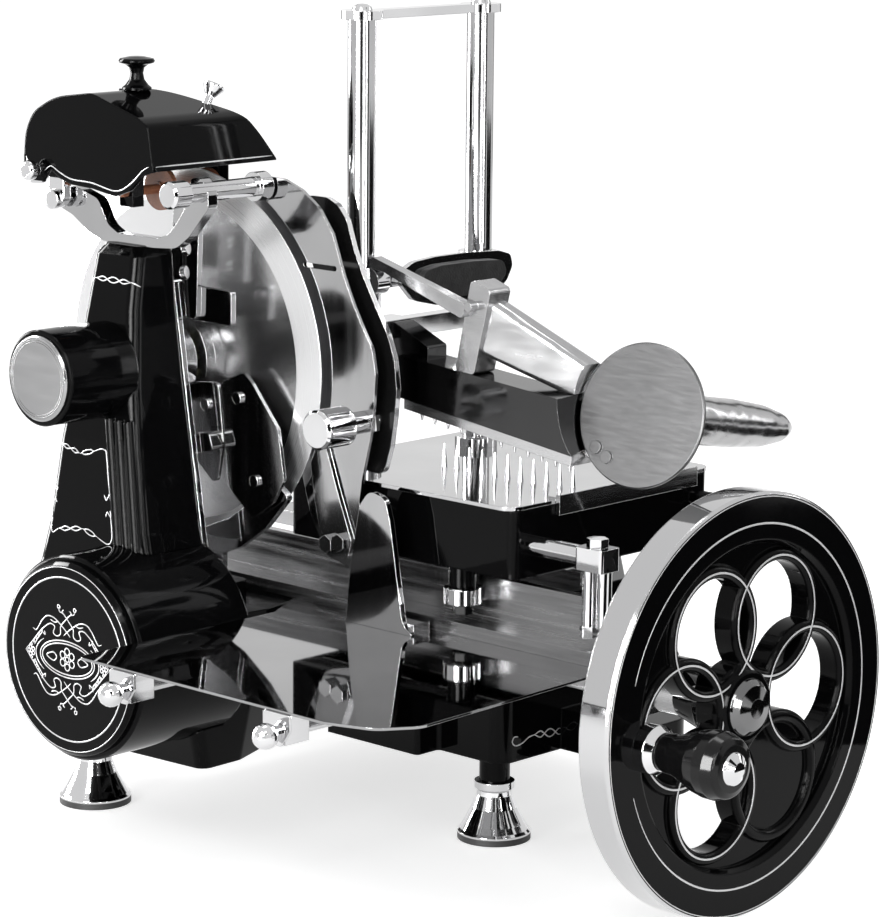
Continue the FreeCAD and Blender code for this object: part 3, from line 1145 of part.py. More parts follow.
def check():
    """Stops before anything is written if one object of the document failed."""
    for item in doc.Objects:
        if {"Invalid", "Error"} & set(item.State):
            raise RuntimeError(f"{item.Name} failed: {item.State}")
    for item in pieces:
        if item.Shape.isNull() or not item.Shape.isValid() or not item.Shape.Solids:
            raise RuntimeError(f"{item.Label} has no valid solid")


def export():
    os.makedirs("parts", exist_ok=True)
    for item in pieces:
        item.Shape.exportStep(f"parts/{item.Label}.step")
        box_size = item.Shape.BoundBox
        print(f"{item.Label}: {len(item.Shape.Solids)} solid(s), {item.Shape.Volume / 1000:.1f} cm3, "
              f"x {box_size.XMin:.1f} {box_size.XMax:.1f}, y {box_size.YMin:.1f} {box_size.YMax:.1f}, "
              f"z {box_size.ZMin:.1f} {box_size.ZMax:.1f}")


build()
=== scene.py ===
import math

import bpy
from mathutils import Matrix, Vector
from mathutils.bvhtree import BVHTree


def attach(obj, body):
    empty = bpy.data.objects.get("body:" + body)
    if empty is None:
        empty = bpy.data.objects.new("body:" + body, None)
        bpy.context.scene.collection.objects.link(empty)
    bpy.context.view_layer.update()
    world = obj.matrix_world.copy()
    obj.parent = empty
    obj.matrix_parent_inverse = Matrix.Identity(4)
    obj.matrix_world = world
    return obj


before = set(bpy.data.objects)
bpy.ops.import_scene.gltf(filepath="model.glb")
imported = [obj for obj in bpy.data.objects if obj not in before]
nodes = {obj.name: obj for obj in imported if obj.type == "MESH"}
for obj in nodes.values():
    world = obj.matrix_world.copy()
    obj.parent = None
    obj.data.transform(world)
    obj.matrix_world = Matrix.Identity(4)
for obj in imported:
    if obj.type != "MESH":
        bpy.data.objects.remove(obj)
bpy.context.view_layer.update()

# The blade's centre in the row frame, in metres. Places below are in millimetres from it.
BLADE = Vector((-0.0715, 0.22175, 0.4005))
# The flywheel's axis as (x, z), and the y of its rim's outer face
WHEEL = (113.5, -224.64)
WHEEL_FACE = -515.4
# The drum cover's axis as (y, z), the x of its outer face, and that of the housing's cap
DRUM = (-35.35, -224.64)
DRUM_FACE = -162
CAP_FACE = -160
# Edges that meet at more than this stay sharp, in degrees
SHARP_ANGLE = 38


def at(x, y, z):
    """A point given in millimetres from the blade's centre."""
    return BLADE + Vector((x, y, z)) / 1000


def placed(name, data):
    """A new object in the scene."""
    made = bpy.data.objects.new(name, data)
    bpy.context.scene.collection.objects.link(made)
    return made


# ---------------------------------------------------------------- shading

def smoothing(angle):
    """Nodes for a modifier that shades a body smooth, apart from its sharp edges."""
    group = bpy.data.node_groups.new("Smoothing", "GeometryNodeTree")
    group.is_modifier = True
    for way in ("INPUT", "OUTPUT"):
        group.interface.new_socket("Geometry", in_out=way, socket_type="NodeSocketGeometry")
    start = group.nodes.new("NodeGroupInput")
    end = group.nodes.new("NodeGroupOutput")
    bend = group.nodes.new("GeometryNodeInputMeshEdgeAngle")
    sharp = group.nodes.new("FunctionNodeCompare")
    sharp.operation = "GREATER_THAN"
    sharp.inputs[1].default_value = math.radians(angle)
    normals = group.nodes.new("GeometryNodeSetMeshNormal")
    normals.mode = "SHARPNESS"
    normals.inputs["Remove Custom"].default_value = True
    group.links.new(bend.outputs[0], sharp.inputs[0])
    group.links.new(sharp.outputs[0], normals.inputs["Edge Sharpness"])
    group.links.new(start.outputs[0], normals.inputs["Mesh"])
    group.links.new(normals.outputs[0], end.inputs[0])
    return group


smooth_group = smoothing(SHARP_ANGLE)
for node in nodes.values():
    node.modifiers.new("Smoothing", "NODES").node_group = smooth_group


# ---------------------------------------------------------------- materials

class Tree:
    """A material whose nodes are made and linked by short calls."""

    SOCKETS = {"color": "Base Color", "metallic": "Metallic", "rough": "Roughness",
               "specular": "Specular IOR Level", "glow_color": "Emission Color", "glow": "Emission Strength"}

    def __init__(self, name):
        self.material = bpy.data.materials.new(name)
        self.material.use_nodes = True
        self.nodes = self.material.node_tree.nodes
        self.links = self.material.node_tree.links
        self.shader = self.nodes["Principled BSDF"]
        self.place = self.nodes.new("ShaderNodeTexCoord")

    def node(self, kind, inputs=None, **settings):
        made = self.nodes.new(kind)
        for key, value in settings.items():
            setattr(made, key, value)
        for key, value in (inputs or {}).items():
            self.put(made, key, value)
        return made

    def put(self, made, key, value):
        """Link a socket, or set a constant, on one of a node's inputs."""
        if isinstance(value, bpy.types.NodeSocket):
            self.links.new(value, made.inputs[key])
        else:
            made.inputs[key].default_value = value

    def finish(self, **values):
        """Set inputs of the shader, by the short names in SOCKETS."""
        for key, value in values.items():
            self.put(self.shader, self.SOCKETS[key], value)

    def math(self, operation, first, second=0.0):
        return self.node("ShaderNodeMath", {0: first, 1: second}, operation=operation).outputs[0]

    def along(self, axis):
        """The object coordinate along one axis, in metres."""
        return self.node("ShaderNodeSeparateXYZ", {0: self.place.outputs["Object"]}).outputs[axis]

    def spot(self, turn=(0, 0, 0), scale=(1, 1, 1), centre=(0, 0, 0)):
        """Object coordinates, moved to a centre, turned and stretched."""
        shift = self.node("ShaderNodeVectorMath", {0: self.place.outputs["Object"], 1: centre},
                          operation="SUBTRACT")
        return self.node("ShaderNodeMapping", {"Vector": shift.outputs[0], "Rotation": turn,
                                               "Scale": scale}).outputs[0]

    def radius(self, axis, centre):
        """Distance from an axis, in metres."""
        split = self.node("ShaderNodeSeparateXYZ", {0: self.spot(centre=centre)})
        squares = [self.math("POWER", self.math("ABSOLUTE", split.outputs[i]), 2.0)
                   for i in range(3) if i != axis]
        return self.math("SQRT", self.math("ADD", *squares))

    def noise(self, scale, detail=2.0, where=None):
        return self.node("ShaderNodeTexNoise", {
            "Vector": where or self.place.outputs["Object"], "Scale": scale, "Detail": detail,
        }).outputs["Fac"]

    def cells(self, scale):
        """Distance to the nearest of many scattered points."""
        return self.node("ShaderNodeTexVoronoi", {
            "Vector": self.place.outputs["Object"], "Scale": scale}).outputs["Distance"]

    def span(self, value, low, high, new_low, new_high):
        """A value's range brought to another one, and held within it."""
        return self.node("ShaderNodeMapRange", {
            "Value": value, "From Min": low, "From Max": high, "To Min": new_low, "To Max": new_high,
        }).outputs[0]

    def patchy(self, scale, detail, low, high):
        """A value that wanders between two levels."""
        return self.span(self.noise(scale, detail), 0.3, 0.7, low, high)

    def mix(self, factor, first, second):
        """A colour between two."""
        made = self.node("ShaderNodeMix", {0: factor}, data_type="RGBA")
        self.put(made, 6, first)
        self.put(made, 7, second)
        return made.outputs[2]

    def blend(self, factor, first, second):
        """A number between two."""
        made = self.node("ShaderNodeMix", {0: factor}, data_type="FLOAT")
        self.put(made, 2, first)
        self.put(made, 3, second)
        return made.outputs[0]

    def bump(self, height, strength, distance, edge=0.0006):
        """Fine relief over edges that are broken by a small radius, in metres."""
        broken = self.node("ShaderNodeBevel", {"Radius": edge}, samples=4)
        made = self.node("ShaderNodeBump", {"Height": height, "Strength": strength, "Distance": distance,
                                            "Normal": broken.outputs[0]})
        self.put(self.shader, "Normal", made.outputs[0])


def grey(value):
    return (value, value, value * 1.01, 1.0)


BLACK = (0.0022, 0.0022, 0.0024, 1)
WHITE = (1, 1, 1, 1)
# Stretches that draw streaks out along one axis
ALONG_X = (0.04, 1, 1)
ALONG_Y = (1, 0.04, 1)
ALONG_Z = (1, 1, 0.04)


def lacquer(tree, color):
    """A deep gloss coat with a little orange peel and faint rubbing."""
    tree.finish(color=color, rough=tree.span(tree.noise(14, 4), 0.35, 0.7, 0.03, 0.08), specular=0.07)
    tree.bump(tree.noise(150, 2), 0.02, 0.0004, 0.002)


def enamel(tree):
    """Black lacquer with specks of dust."""
    dust = tree.span(tree.noise(900, 2), 0.68, 0.8, 0, 0.25)
    lacquer(tree, tree.mix(dust, BLACK, grey(0.012)))


def bare(tree, mask, tone):
    """Black lacquer that gives way to polished chrome where the mask is 1."""
    lacquer(tree, tree.mix(mask, BLACK, grey(tone)))
    tree.finish(metallic=mask)


def wheel_paint(tree):
    """Black lacquer, with the rim's outer band left as polished chrome."""
    distance = tree.radius(1, tuple(at(WHEEL[0], 0, WHEEL[1])))
    bare(tree, tree.span(distance, 0.1655, 0.1659, 0, 1), 0.5)


def hood_paint(tree):
    """Black lacquer, with a chromed stop on the left and chromed lugs at the pivot."""
    def beyond(axis, edge, step):
        return tree.span(tree.along(axis), edge, edge + step, 0, 1)

    left = beyond(0, at(-100.2, 0, 0).x, -0.0004)
    back = beyond(1, at(0, 61, 0).y, 0.0004)
    low = beyond(2, at(0, 0, 149).z, -0.0004)
    bare(tree, tree.math("MAXIMUM", left, tree.math("MULTIPLY", back, low)), 0.6)


def brushed(tree, tone, rough, turn=(0, 0, 0), stretch=(1, 1, 1), scale=60, tint=1.0):
    """Metal with streaked roughness and a slow change of tone. Returns the streaks."""
    streaks = tree.noise(scale, 4, tree.spot(turn, stretch))
    dark = (tone * 0.86, tone * 0.86, tone * 0.87 * tint, 1)
    light = (tone, tone, tone * 1.01 * tint, 1)
    slow = tree.span(tree.noise(9, 3), 0.35, 0.65, 0, 1)
    tree.finish(color=tree.mix(slow, dark, light), metallic=1.0, rough=tree.span(streaks, 0.3, 0.7, *rough))
    return streaks


def metal(tree, tone, rough, grain=0.03, **more):
    """Polished or brushed metal with fine polishing marks."""
    tree.bump(brushed(tree, tone, rough, **more), grain, 0.0002)


def cast_metal(tree, tone, rough, **more):
    """Hand-polished casting: its faces roll a little, so that what they mirror runs in waves."""
    brushed(tree, tone, rough, **more)
    tree.bump(tree.noise(26, 2, tree.spot((0.3, 0.5, 0.2), (1, 0.45, 1))), 0.55, 0.006)


def blade_steel(tree):
    """Ground disc: a pale bevel, a grey body, and grinding rings round the axis."""
    distance = tree.radius(0, tuple(BLADE))
    bevel = tree.span(distance, 0.1345, 0.1352, 0, 1)
    hollow = tree.span(distance, 0.094, 0.104, 0, 1)
    rings = tree.math("SINE", tree.math("MULTIPLY", distance, 9000.0))
    fine = tree.noise(2500, 2, tree.node("ShaderNodeCombineXYZ", {0: distance}).outputs[0])
    body = tree.mix(hollow, grey(0.5), grey(0.6))
    tree.finish(color=tree.mix(bevel, body, grey(0.55)), metallic=1.0,
                rough=tree.blend(bevel, tree.span(fine, 0.3, 0.7, 0.12, 0.22),
                                 tree.span(fine, 0.3, 0.7, 0.24, 0.36)))
    tree.bump(tree.math("ADD", rings, tree.math("MULTIPLY", fine, 2.0)), 0.06, 0.00006)


def foot_metal(tree):
    """Chromed bell with a dark rubber pad under its base, up to 5.4 mm from the floor."""
    pad = tree.span(tree.along(2), 0.0052, 0.0056, 1, 0)
    tree.finish(color=tree.mix(pad, grey(0.6), grey(0.012)), metallic=tree.math("SUBTRACT", 1.0, pad),
                rough=tree.blend(pad, tree.patchy(50, 3, 0.04, 0.1), 0.55))
    tree.bump(tree.noise(60, 4), 0.03, 0.0002)


def edge_plate(tree):
    """A plate with black faces and polished edges."""
    facing = tree.node("ShaderNodeSeparateXYZ", {0: tree.place.outputs["Normal"]}).outputs[0]
    face = tree.span(tree.math("ABSOLUTE", facing), 0.9, 0.96, 0, 1)
    tree.finish(color=tree.mix(face, grey(0.72), grey(0.006)), metallic=tree.math("SUBTRACT", 1.0, face),
                rough=tree.blend(face, 0.08, tree.patchy(30, 3, 0.12, 0.2)))
    tree.bump(tree.noise(60, 4), 0.03, 0.0002)


def stone(tree):
    """Red-brown bonded abrasive with loose grain."""
    grain = tree.span(tree.noise(1400, 3), 0.35, 0.65, 0, 1)
    tree.finish(color=tree.mix(grain, (0.16, 0.045, 0.02, 1), (0.42, 0.15, 0.06, 1)), rough=0.85)
    tree.bump(tree.cells(1100.0), 0.5, 0.0004)


def grip_black(tree):
    """Turned and lacquered handle: very fine turning rings under a glossy coat."""
    rings = tree.math("SINE", tree.math("MULTIPLY", tree.along(1), 5200.0))
    tree.finish(color=tree.mix(tree.noise(60, 3), BLACK, grey(0.009)), rough=tree.patchy(45, 3, 0.08, 0.16),
                specular=0.22)
    tree.bump(rings, 0.03, 0.00005)


def scale_black(tree):
    """Pressed black grip scale with a fine pebble."""
    tree.finish(color=tree.mix(tree.noise(200, 3), grey(0.006), grey(0.03)),
                rough=tree.patchy(90, 2, 0.3, 0.45), specular=0.2)
    tree.bump(tree.cells(620.0), 0.35, 0.0004)


def chain_steel(tree):
    """Oiled chain: link plates and rollers in a regular pitch."""
    along = tree.math("ADD", tree.along(1), tree.along(2))
    links = tree.math("SINE", tree.math("MULTIPLY", along, 660.0))
    tree.finish(color=tree.mix(tree.span(links, -0.2, 0.2, 0, 1), grey(0.12), grey(0.34)), metallic=1.0,
                rough=0.34)
    tree.bump(links, 0.4, 0.0006)


def line_paint(tree):
    """Silver lining paint with brush-loaded edges."""
    tree.finish(color=tree.mix(tree.noise(500, 3), grey(0.5), grey(0.72)), metallic=0.35,
                rough=tree.patchy(300, 2, 0.3, 0.42))


def make(name, build, *args, **more):
    tree = Tree(name)
    build(tree, *args, **more)
    return tree.material


def dress(material, *names):
    for name in names:
        nodes[name].data.materials.clear()
        nodes[name].data.materials.append(material)


dress(make("Enamel", enamel),
      "base_casting", "column_housing", "gear_case", "drum_cover", "blade_shaft_housing", "hood_knob",
      "carriage")
dress(make("HoodEnamel", hood_paint), "sharpener_hood")
dress(make("WheelEnamel", wheel_paint), "flywheel")
dress(make("Chrome", metal, 0.66, (0.03, 0.07)),
      "chain_cover", "handle_spindle", "gauge_knob", "tie_rod_knob", "stone_button", "rod_bridge",
      "press_slide", "push_rod", "frame_screws", "blade_screws", "table_spikes", "lift_grip",
      "guide_roller", "front_wheelset", "rear_wheelset")
dress(make("RodChrome", metal, 0.44, (0.05, 0.12), 0.04, stretch=ALONG_Z, scale=220), "press_rods")
dress(make("BarChrome", metal, 0.58, (0.05, 0.12), 0.04, stretch=ALONG_X, scale=220),
      "guard_tie_rod", "tray_supports", "feed_screw")
dress(make("CentreChrome", metal, 0.16, (0.05, 0.11)), "flywheel_cap")
dress(make("CapChrome", metal, 0.34, (0.12, 0.22), turn=(0.9, 0, 0), stretch=(1, 0.2, 1), scale=120),
      "housing_cap")
dress(make("GuardMirror", metal, 0.4, (0.06, 0.12), 0.012, stretch=ALONG_Z, scale=120), "guard_plate")
dress(make("PlateMirror", metal, 0.42, (0.03, 0.07), 0.012, stretch=ALONG_Z, scale=120),
      "guard_stand", "sharpener_fork", "upper_arm")
dress(make("TrayMirror", metal, 0.3, (0.02, 0.05), 0.01, stretch=ALONG_Y, scale=120), "receiving_tray")
dress(make("TableMirror", metal, 0.5, (0.03, 0.09), 0.02, stretch=ALONG_X, scale=150), "carriage_table")
dress(make("DarkChrome", metal, 0.34, (0.05, 0.13), stretch=ALONG_Z, scale=90),
      "deflector_plate", "lower_guard")
dress(make("PolishedAluminium", cast_metal, 0.42, (0.16, 0.28), turn=(0.3, 0.2, 0), stretch=(1, 0.15, 1),
           scale=130), "press_link", "press_arm", "guard_handle")
dress(make("PressSteel", metal, 0.055, (0.07, 0.16), 0.04, stretch=ALONG_Y, scale=160), "press_bar")
dress(make("StripSteel", metal, 0.5, (0.16, 0.3), 0.06, stretch=ALONG_Y, scale=200), "press_strip")
dress(make("DiscSatin", metal, 0.14, (0.3, 0.36), 0.012, turn=(0.7, 0, 0), stretch=(1, 0.1, 1), scale=420),
      "hand_guard")
dress(make("RailSteel", metal, 0.34, (0.14, 0.3), 0.08, stretch=ALONG_Y, scale=260),
      "left_rail", "right_rail", "flywheel_shaft_housing")
dress(make("MachineSteel", metal, 0.3, (0.14, 0.26), 0.06, scale=160),
      "blade_shaft", "blade_sprocket", "cross_shaft", "flywheel_shaft")
dress(make("Bronze", metal, 0.4, (0.2, 0.34), 0.05, scale=140, tint=0.5), "bearings")
dress(make("BladeSteel", blade_steel), "blade")
dress(make("FootChrome", foot_metal), "feet")
dress(make("EdgePlate", edge_plate), "gauge_plate")
dress(make("Abrasive", stone), "grinding_stone", "honing_stone")
dress(make("GripBlack", grip_black), "handle_grip")
dress(make("ScaleBlack", scale_black), "lift_grip_scale")
dress(make("ChainSteel", chain_steel), "drive_chain")
lining = make("Lining", line_paint)
engraved = make("Engraving", metal, 0.12, (0.3, 0.4))


# ---------------------------------------------------------------- painted lines

# How deep a painted line's edges lie in the surface, in metres
SINK = 0.00008


def ribbon(name, runs, width, body, material=lining, height=0.00012):
    """A domed strip of paint along each run of (point, normal). Open runs taper at both ends."""
    section = ((-1, -SINK), (-0.8, height * 0.7), (0, height), (0.8, height * 0.7), (1, -SINK))
    vertices = []
    faces = []
    for points, closed in runs:
        count = len(points)
        start = len(vertices)
        for i, (spot, normal) in enumerate(points):
            before = points[(i - 1) % count if closed else max(i - 1, 0)][0]
            after = points[(i + 1) % count if closed else min(i + 1, count - 1)][0]
            run = (after - before).normalized()
            side = run.cross(normal).normalized()
            share = 1.0
            if not closed:
                share = min(1.0, 0.35 + 0.65 * min(i, count - 1 - i) / (count * 0.12 + 1))
            half = width * share / 2
            vertices += [spot + side * half * across + normal * up for across, up in section]
        for i in range(count if closed else count - 1):
            a = start + i * 5
            b = start + (i + 1) % count * 5
            faces += [(a + k, b + k, b + k + 1, a + k + 1) for k in range(4)]
            faces.append((a + 4, b + 4, b, a))
        if not closed:
            faces.append(tuple(range(start, start + 5)))
            faces.append(tuple(start + (count - 1) * 5 + k for k in (4, 3, 2, 1, 0)))
    mesh = bpy.data.meshes.new(name)
    mesh.from_pydata([tuple(v) for v in vertices], [], faces)
    mesh.validate()
    for polygon in mesh.polygons:
        polygon.use_smooth = True
    mesh.materials.append(material)
    piece = placed(name, mesh)
    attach(piece, body)


def refined(points):
    """Points along a polyline, about a millimetre apart."""
    out = []
    for (a, b), (c, d) in zip(points, points[1:]):
        parts = max(1, round(math.hypot(c - a, d - b)))
        out += [(a + (c - a) * i / parts, b + (d - b) * i / parts) for i in range(parts)]
    return out + [points[-1]]


def smoothed(points, closed=False, parts=10):
    """A Catmull-Rom curve through the points."""
    count = len(points)
    out = []
    for i in range(count if closed else count - 1):
        four = [points[(i + k) % count if closed else min(max(i + k, 0), count - 1)] for k in (-1, 0, 1, 2)]
        for step in range(parts):
            t = step / parts
            out.append(tuple(
                0.5 * (2 * b + (c - a) * t + (2 * a - 5 * b + 4 * c - d) * t * t
                       + (3 * b - a - 3 * c + d) * t ** 3)
                for a, b, c, d in zip(*four)))
    return out if closed else out + [tuple(points[-1])]


def twist(first, last, height, waves, parts=44):
    """Two strands that cross each other along a line."""
    strands = []
    for sign in (1, -1):
        run = []
        for i in range(parts + 1):
            t = i / parts
            lift = math.sin(t * waves * math.pi) * height * sign * min(1, 4 * t, 4 * (1 - t))
            run.append((first[0] + (last[0] - first[0]) * t, first[1] + (last[1] - first[1]) * t + lift))
        strands.append(run)
    return strands


def arc(centre, radius, first, last, parts):
    """Points on an arc between two angles, in degrees."""
    return [(centre[0] + radius * math.cos(math.radians(first + (last - first) * i / parts)),
             centre[1] + radius * math.sin(math.radians(first + (last - first) * i / parts)))
            for i in range(parts + 1)]


def circle(centre, radius, parts):
    return arc(centre, radius, 0, 360, parts)[:-1]


def oval(a, b, parts=60, centre=(0, 0)):
    return [(centre[0] + a * math.cos(2 * math.pi * i / parts),
             centre[1] + b * math.sin(2 * math.pi * i / parts))
            for i in range(parts)]


def on_face(points, axis, place, closed=False):
    """A run on a flat face that looks down an axis. The points are the two other coordinates."""
    normal = Vector((0, 0, 0))
    normal[axis] = -1
    out = []
    for point in points:
        spot = list(point)
        spot.insert(axis, place)
        out.append((at(*spot), normal))
    return out, closed


def cast(name, points, axis, start):
    """Runs where rays along an axis meet a node's surface. The points are the two other coordinates."""
    direction = Vector((0, 0, 0))
    direction[axis] = 1
    runs = [[]]
    for point in points:
        spot = list(point)
        spot.insert(axis, start)
        hit, normal, _, _ = trees[name].ray_cast(at(*spot), direction)
        if hit is None or abs(normal.dot(direction)) < 0.15:
            if runs[-1]:
                runs.append([])
            continue
        if normal.dot(direction) > 0:
            normal = -normal
        if runs[-1] and (hit - runs[-1][-1][0]).length > 0.012:
            runs.append([])
        runs[-1].append((hit, normal))
    return [(run, False) for run in runs if len(run) > 3]


X, Y = 0, 1
trees = {}
for name in ("column_housing", "base_casting", "sharpener_hood"):
    mesh = nodes[name].data
    trees[name] = BVHTree.FromPolygons([v.co.copy() for v in mesh.vertices],
                                       [tuple(p.vertices) for p in mesh.polygons])

# Flywheel: a circle on the rim's face, broken at the handle, one on each open ring, and one by the edge
wheel_runs = [on_face(arc(WHEEL, 143.5, -162, 163, 200), Y, WHEEL_FACE)]
for i in range(5):
    turn = math.radians(2 + 60 * i)
    centre = (WHEEL[0] + 75 * math.cos(turn), WHEEL[1] + 75 * math.sin(turn))
    wheel_runs.append(on_face(circle(centre, 47.6, 90), Y, WHEEL_FACE + 3, True))
ribbon("WheelLining", wheel_runs, 0.0017, "flywheel_unit")
ribbon("WheelEdgeLine", [on_face(circle(WHEEL, 164.4, 200), Y, WHEEL_FACE, True)], 0.0009, "flywheel_unit")

# Drum cover: two circles, and a scroll ornament round an oval with a small flower
scrolls = []


def add(points, closed=False):
    scrolls.append(on_face([(DRUM[0] + p[0], DRUM[1] + p[1]) for p in points], X, DRUM_FACE, closed))


def dot(y, z, radius, parts=14):
    add(oval(radius, radius, parts, (y, z)), True)


add(oval(33, 15), True)
add(oval(30.4, 12.6), True)
for i in range(6):
    turn = math.radians(60 * i + 30)
    dot(6.4 * math.cos(turn), 6.4 * math.sin(turn), 2.9, 20)
dot(0, 0, 2.2, 16)
for sy in (-1, 1):
    add([(sy * 38.5 * math.cos(math.radians(a)), 19 * math.sin(math.radians(a))) for a in range(-42, 43, 3)])
    dot(sy * 44.2, 0, 1.3)
    for i in range(5):
        turn = math.radians(72 * i)
        dot(sy * (44.2 + 3 * math.cos(turn)), 3 * math.sin(turn), 1.5)
    add(smoothed([(sy * 13, 0), (sy * 17, 3.4), (sy * 25, 0), (sy * 17, -3.4)], True, 8), True)
    for sz in (-1, 1):
        for strand in (
                [(51, 0), (42, 9), (33, 18), (26, 23.7), (20, 26.6), (15, 25), (16.6, 19.6), (12.4, 17.6),
                 (8, 20), (7.6, 26), (3, 31), (-4, 37), (-8.8, 38.5), (-9.6, 41.6)],
                [(41.5, 19.4), (38, 18.4), (34.5, 22.2), (30, 28), (24, 32.4), (16, 32.2), (8, 28), (0, 22.5),
                 (-4, 19)],
                [(40, 6), (36.6, 11), (33, 15), (30.4, 18.6), (31.6, 21)],
                [(30, 18), (27, 16.4), (27.6, 19.4)],
                [(20, 30), (15, 28.6), (11, 29.6)],
                [(-3.6, 40.6), (-5.6, 38.6), (-3.4, 36.6)]):
            add(smoothed([(sy * y, sz * z) for y, z in strand]))
        dot(sy * -9.8, sz * 42.2, 1.5)
        for step in range(4):
            dot(sy * (44 - 3.1 * step), sz * (5.4 + 3.1 * step), 1, 12)
ribbon("DrumCircle", [on_face(circle(DRUM, 67.3, 120), X, DRUM_FACE, True)], 0.0014, "frame")
ribbon("DrumScrolls", scrolls, 0.00115, "frame")
ribbon("DrumEdgeLine", [on_face(circle(DRUM, 75.6, 180), X, DRUM_FACE, True)], 0.0008, "frame")

# Cap on the blade shaft's housing: two engraved rings and two small screws
cap_runs = [on_face(circle((0, 0), radius, 120), X, CAP_FACE, True) for radius in (31.4, 29.6)]
cap_runs += [on_face(oval(size, size, 18, (side, 0)), X, CAP_FACE, True) for side in (-30.5, 30.5)
             for size in (1.9, 0.8)]
ribbon("CapRings", cap_runs, 0.0007, "frame", material=engraved, height=0.00005)

# Column: a wave above the shaft's housing and a frame below it, on the left side
column_lines = twist((20, 72), (-24, 72), 2.2, 3)
column_lines += [smoothed([(20, 72), (24, 69), (26, 63)]), smoothed([(-24, 72), (-28, 69), (-31, 62)])]
column_lines += twist((42.5, -66.6), (19.3, -71.5), 1.7, 2) + twist((19.3, -71.5), (1, -67.1), 1.9, 1)
column_lines += [
    smoothed([(1, -67.1), (-6, -64.5), (-10.5, -64.8), (-12.5, -67), (-15.5, -84.1), (-18.3, -100.5)]),
    smoothed([(-12, -101.5), (-14.6, -105.6), (-18.3, -100.5), (-19.6, -105)]),
    smoothed([(-14.6, -119.5), (-16.4, -115.3), (-20.4, -118.5), (-19.8, -113.5)]),
    smoothed([(-20.4, -118.1), (-22, -127), (-23, -135), (-21.6, -139.6), (-18, -141.4), (-13, -140.4),
              (-4.4, -137.2)]),
    smoothed([(42.9, -137.4), (46.4, -139.6), (50.2, -141.6), (52.2, -138), (52.4, -128), (51.4, -114)]),
    smoothed([(42.5, -66.6), (47.6, -64.5), (49.4, -81.7), (50.6, -96.3), (50.2, -104.7)]),
    smoothed([(45, -103), (47.4, -106), (50.2, -102)]),
    smoothed([(46, -116), (48.6, -112.6), (51.4, -116.5)])]
column_lines += twist((-4.4, -137.2), (12.9, -133.2), 2, 1) + twist((12.9, -133.2), (42.9, -137.4), 1.8, 2)
column_runs = [run for line in column_lines for run in cast("column_housing", refined(line), X, -300)]
ribbon("ColumnLining", column_runs, 0.0011, "frame")

# Base: a scroll on the front face
base_lines = [smoothed([(151, -309), (146, -308.5), (144, -312.5), (148, -316), (156, -315.5), (164, -312),
                        (172, -311)])]
base_lines += twist((170, -311), (212, -315), 3.4, 3)
base_lines += [smoothed([(212, -315), (219, -318), (225, -322), (231, -321), (231, -316.5), (226.5, -316)])]
base_runs = [run for line in base_lines for run in cast("base_casting", refined(line), Y, -420)]
ribbon("BaseLining", base_runs, 0.0012, "frame")

# Hood: a line above its lower edge, on the left side and along the front
hood_edge = smoothed([(81, 168), (76, 153), (68, 151.5), (58, 158), (50, 162), (40, 158), (25, 153.5),
                      (0, 152.5), (-28, 148.5), (-45, 155), (-60, 167), (-68, 171)])
hood_runs = cast("sharpener_hood", refined(hood_edge), X, -300)
hood_runs += cast("sharpener_hood", [(x, 171) for x in range(-97, 33, 2)], Y, -200)
ribbon("HoodLining", hood_runs, 0.0012, "hood")


# ---------------------------------------------------------------- stage, light and camera

def looked_at(shading):
    """1 for camera, glossy and transmission rays, and 0 for all others."""
    path = shading.nodes.new("ShaderNodeLightPath")
    seen = path.outputs["Is Camera Ray"]
    for ray in ("Is Glossy Ray", "Is Transmission Ray"):
        larger = shading.nodes.new("ShaderNodeMath")
        larger.operation = "MAXIMUM"
        shading.links.new(seen, larger.inputs[0])
        shading.links.new(path.outputs[ray], larger.inputs[1])
        seen = larger.outputs[0]
    return seen


def floor_white(tree):
    """A pale surface that still takes a shadow and reads white to the camera and in reflections."""
    tree.finish(color=(0.82, 0.82, 0.82, 1), rough=0.9, specular=0.1, glow_color=WHITE,
                glow=tree.math("MULTIPLY", looked_at(tree), 0.66))


floor_mesh = bpy.data.meshes.new("Floor")
floor_mesh.from_pydata([(-30, -30, 0), (30, -30, 0), (30, 30, 0), (-30, 30, 0)], [], [(0, 1, 2, 3)])
floor_mesh.materials.append(make("FloorWhite", floor_white))
floor = placed("Floor", floor_mesh)

# The world is white where it is looked at, and lights at half strength
world = bpy.data.worlds.new("Studio")
bpy.context.scene.world = world
world.use_nodes = True
sky = world.node_tree
background = sky.nodes["Background"]
level = sky.nodes.new("ShaderNodeMapRange")
sky.links.new(looked_at(sky), level.inputs["Value"])
level.inputs["To Min"].default_value = 0.5
level.inputs["To Max"].default_value = 1.0
sky.links.new(level.outputs[0], background.inputs["Strength"])
background.inputs["Color"].default_value = WHITE


def lamp(name, place, size, power):
    """An area lamp, in metres and watts, that looks at the middle of the machine."""
    data = bpy.data.lights.new(name, "AREA")
    data.shape = "RECTANGLE"
    data.size, data.size_y = size
    data.energy = power
    made = placed(name, data)
    made.location = place
    made.rotation_mode = "QUATERNION"
    made.rotation_quaternion = (Vector((0, 0, 0.35)) - Vector(place)).to_track_quat("-Z", "Y")


lamp("KeyLamp", (-2.2, -1.2, 2.2), (1.0, 1.0), 18)
lamp("StripLeft", (-2.15, -0.1, 0.75), (0.1, 1.7), 14)
lamp("StripFront", (-0.3, -2.6, 0.9), (0.09, 1.7), 16)
lamp("TopLamp", (0.2, 0.3, 2.6), (1.4, 0.4), 12)
lamp("RightLamp", (2.3, -1.3, 1.3), (0.12, 1.4), 5)


def card_face(tree, glow):
    tree.finish(color=grey(0.01), rough=1.0, specular=0.0, glow_color=WHITE, glow=glow)


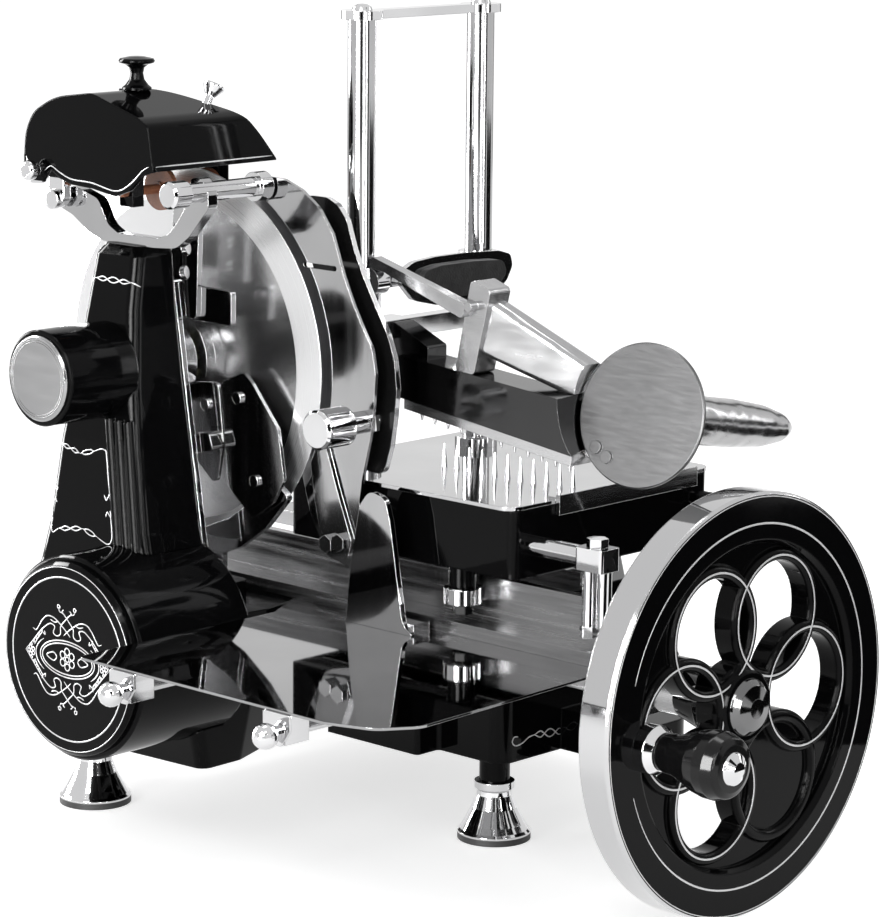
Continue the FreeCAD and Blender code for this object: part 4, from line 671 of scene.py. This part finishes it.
def card(name, bearing, distance, width, low, high, glow, lean=0.0):
    """A card beside the machine, black or lit, that only shows in reflections.

    The bearing is in degrees from +Y towards +X. Low and high are the heights of its edges. The upper edge
    is further out by the lean, in metres.
    """
    turn = math.radians(bearing)
    out = Vector((math.sin(turn), math.cos(turn), 0))
    side = Vector((math.cos(turn), -math.sin(turn), 0)) * width / 2
    corners = [out * (distance + lean * up) + side * k + Vector((0, 0, low + (high - low) * up))
               for k, up in ((-1, 0), (1, 0), (1, 1), (-1, 1))]
    mesh = bpy.data.meshes.new(name)
    mesh.from_pydata([tuple(c) for c in corners], [], [(0, 1, 2, 3)])
    mesh.materials.append(make(name, card_face, glow))
    made = placed(name, mesh)
    made.visible_camera = made.visible_diffuse = made.visible_shadow = made.visible_transmission = False


# Bearing, distance, width, low, high and glow of the upright cards
CARDS = (
    (-17, 2.2, 0.6, 0.05, 1.9, 40.0),
    (-150, 2.9, 0.3, 0.1, 2.0, 30.0),
    (-101, 2.3, 0.85, 0.05, 1.9, 36.0),
    (133, 1.5, 1.3, 0.2, 0.45, 0.0),
    (-130, 3.5, 1.0, 0.2, 2.4, 0.0),
    (172, 2.6, 0.5, 0.01, 2.2, 0.0),
    (20, 2.4, 0.4, 0.3, 2.4, 0.0),
    (84, 2.4, 0.4, 0.3, 2.4, 0.0),
)
for i, values in enumerate(CARDS):
    card(f"Card{i}", *values)
# A black one that lies on the floor, beyond the flywheel
card("CardFloor", 133, 0.75, 1.4, 0.003, 0.004, 0.0, 1.1)

AZIMUTH = math.radians(46.8045)
ELEVATION = math.radians(11.013)
ROLL = math.radians(0.5535)
SENSOR_MM = 36
FOCAL_PX = 3580.617
IMAGE_PX = 917
ahead = Vector((math.cos(ELEVATION) * math.sin(AZIMUTH), math.cos(ELEVATION) * math.cos(AZIMUTH),
                -math.sin(ELEVATION)))
level_right = Vector((math.cos(AZIMUTH), -math.sin(AZIMUTH), 0))
level_up = level_right.cross(ahead)
right = level_right * math.cos(ROLL) + level_up * math.sin(ROLL)
up = -level_right * math.sin(ROLL) + level_up * math.cos(ROLL)
camera_data = bpy.data.cameras.new("Camera")
camera_data.sensor_width = SENSOR_MM
camera_data.lens = FOCAL_PX * SENSOR_MM / IMAGE_PX
camera_data.clip_start = 0.05
camera_data.clip_end = 200
camera = placed("Camera", camera_data)
turned = Matrix((right, up, -ahead)).transposed().to_4x4()
camera.matrix_world = Matrix.Translation(at(-1995.04, -2168.5, 487.55)) @ turned
bpy.context.scene.camera = camera

bpy.context.scene.view_settings.view_transform = "Standard"
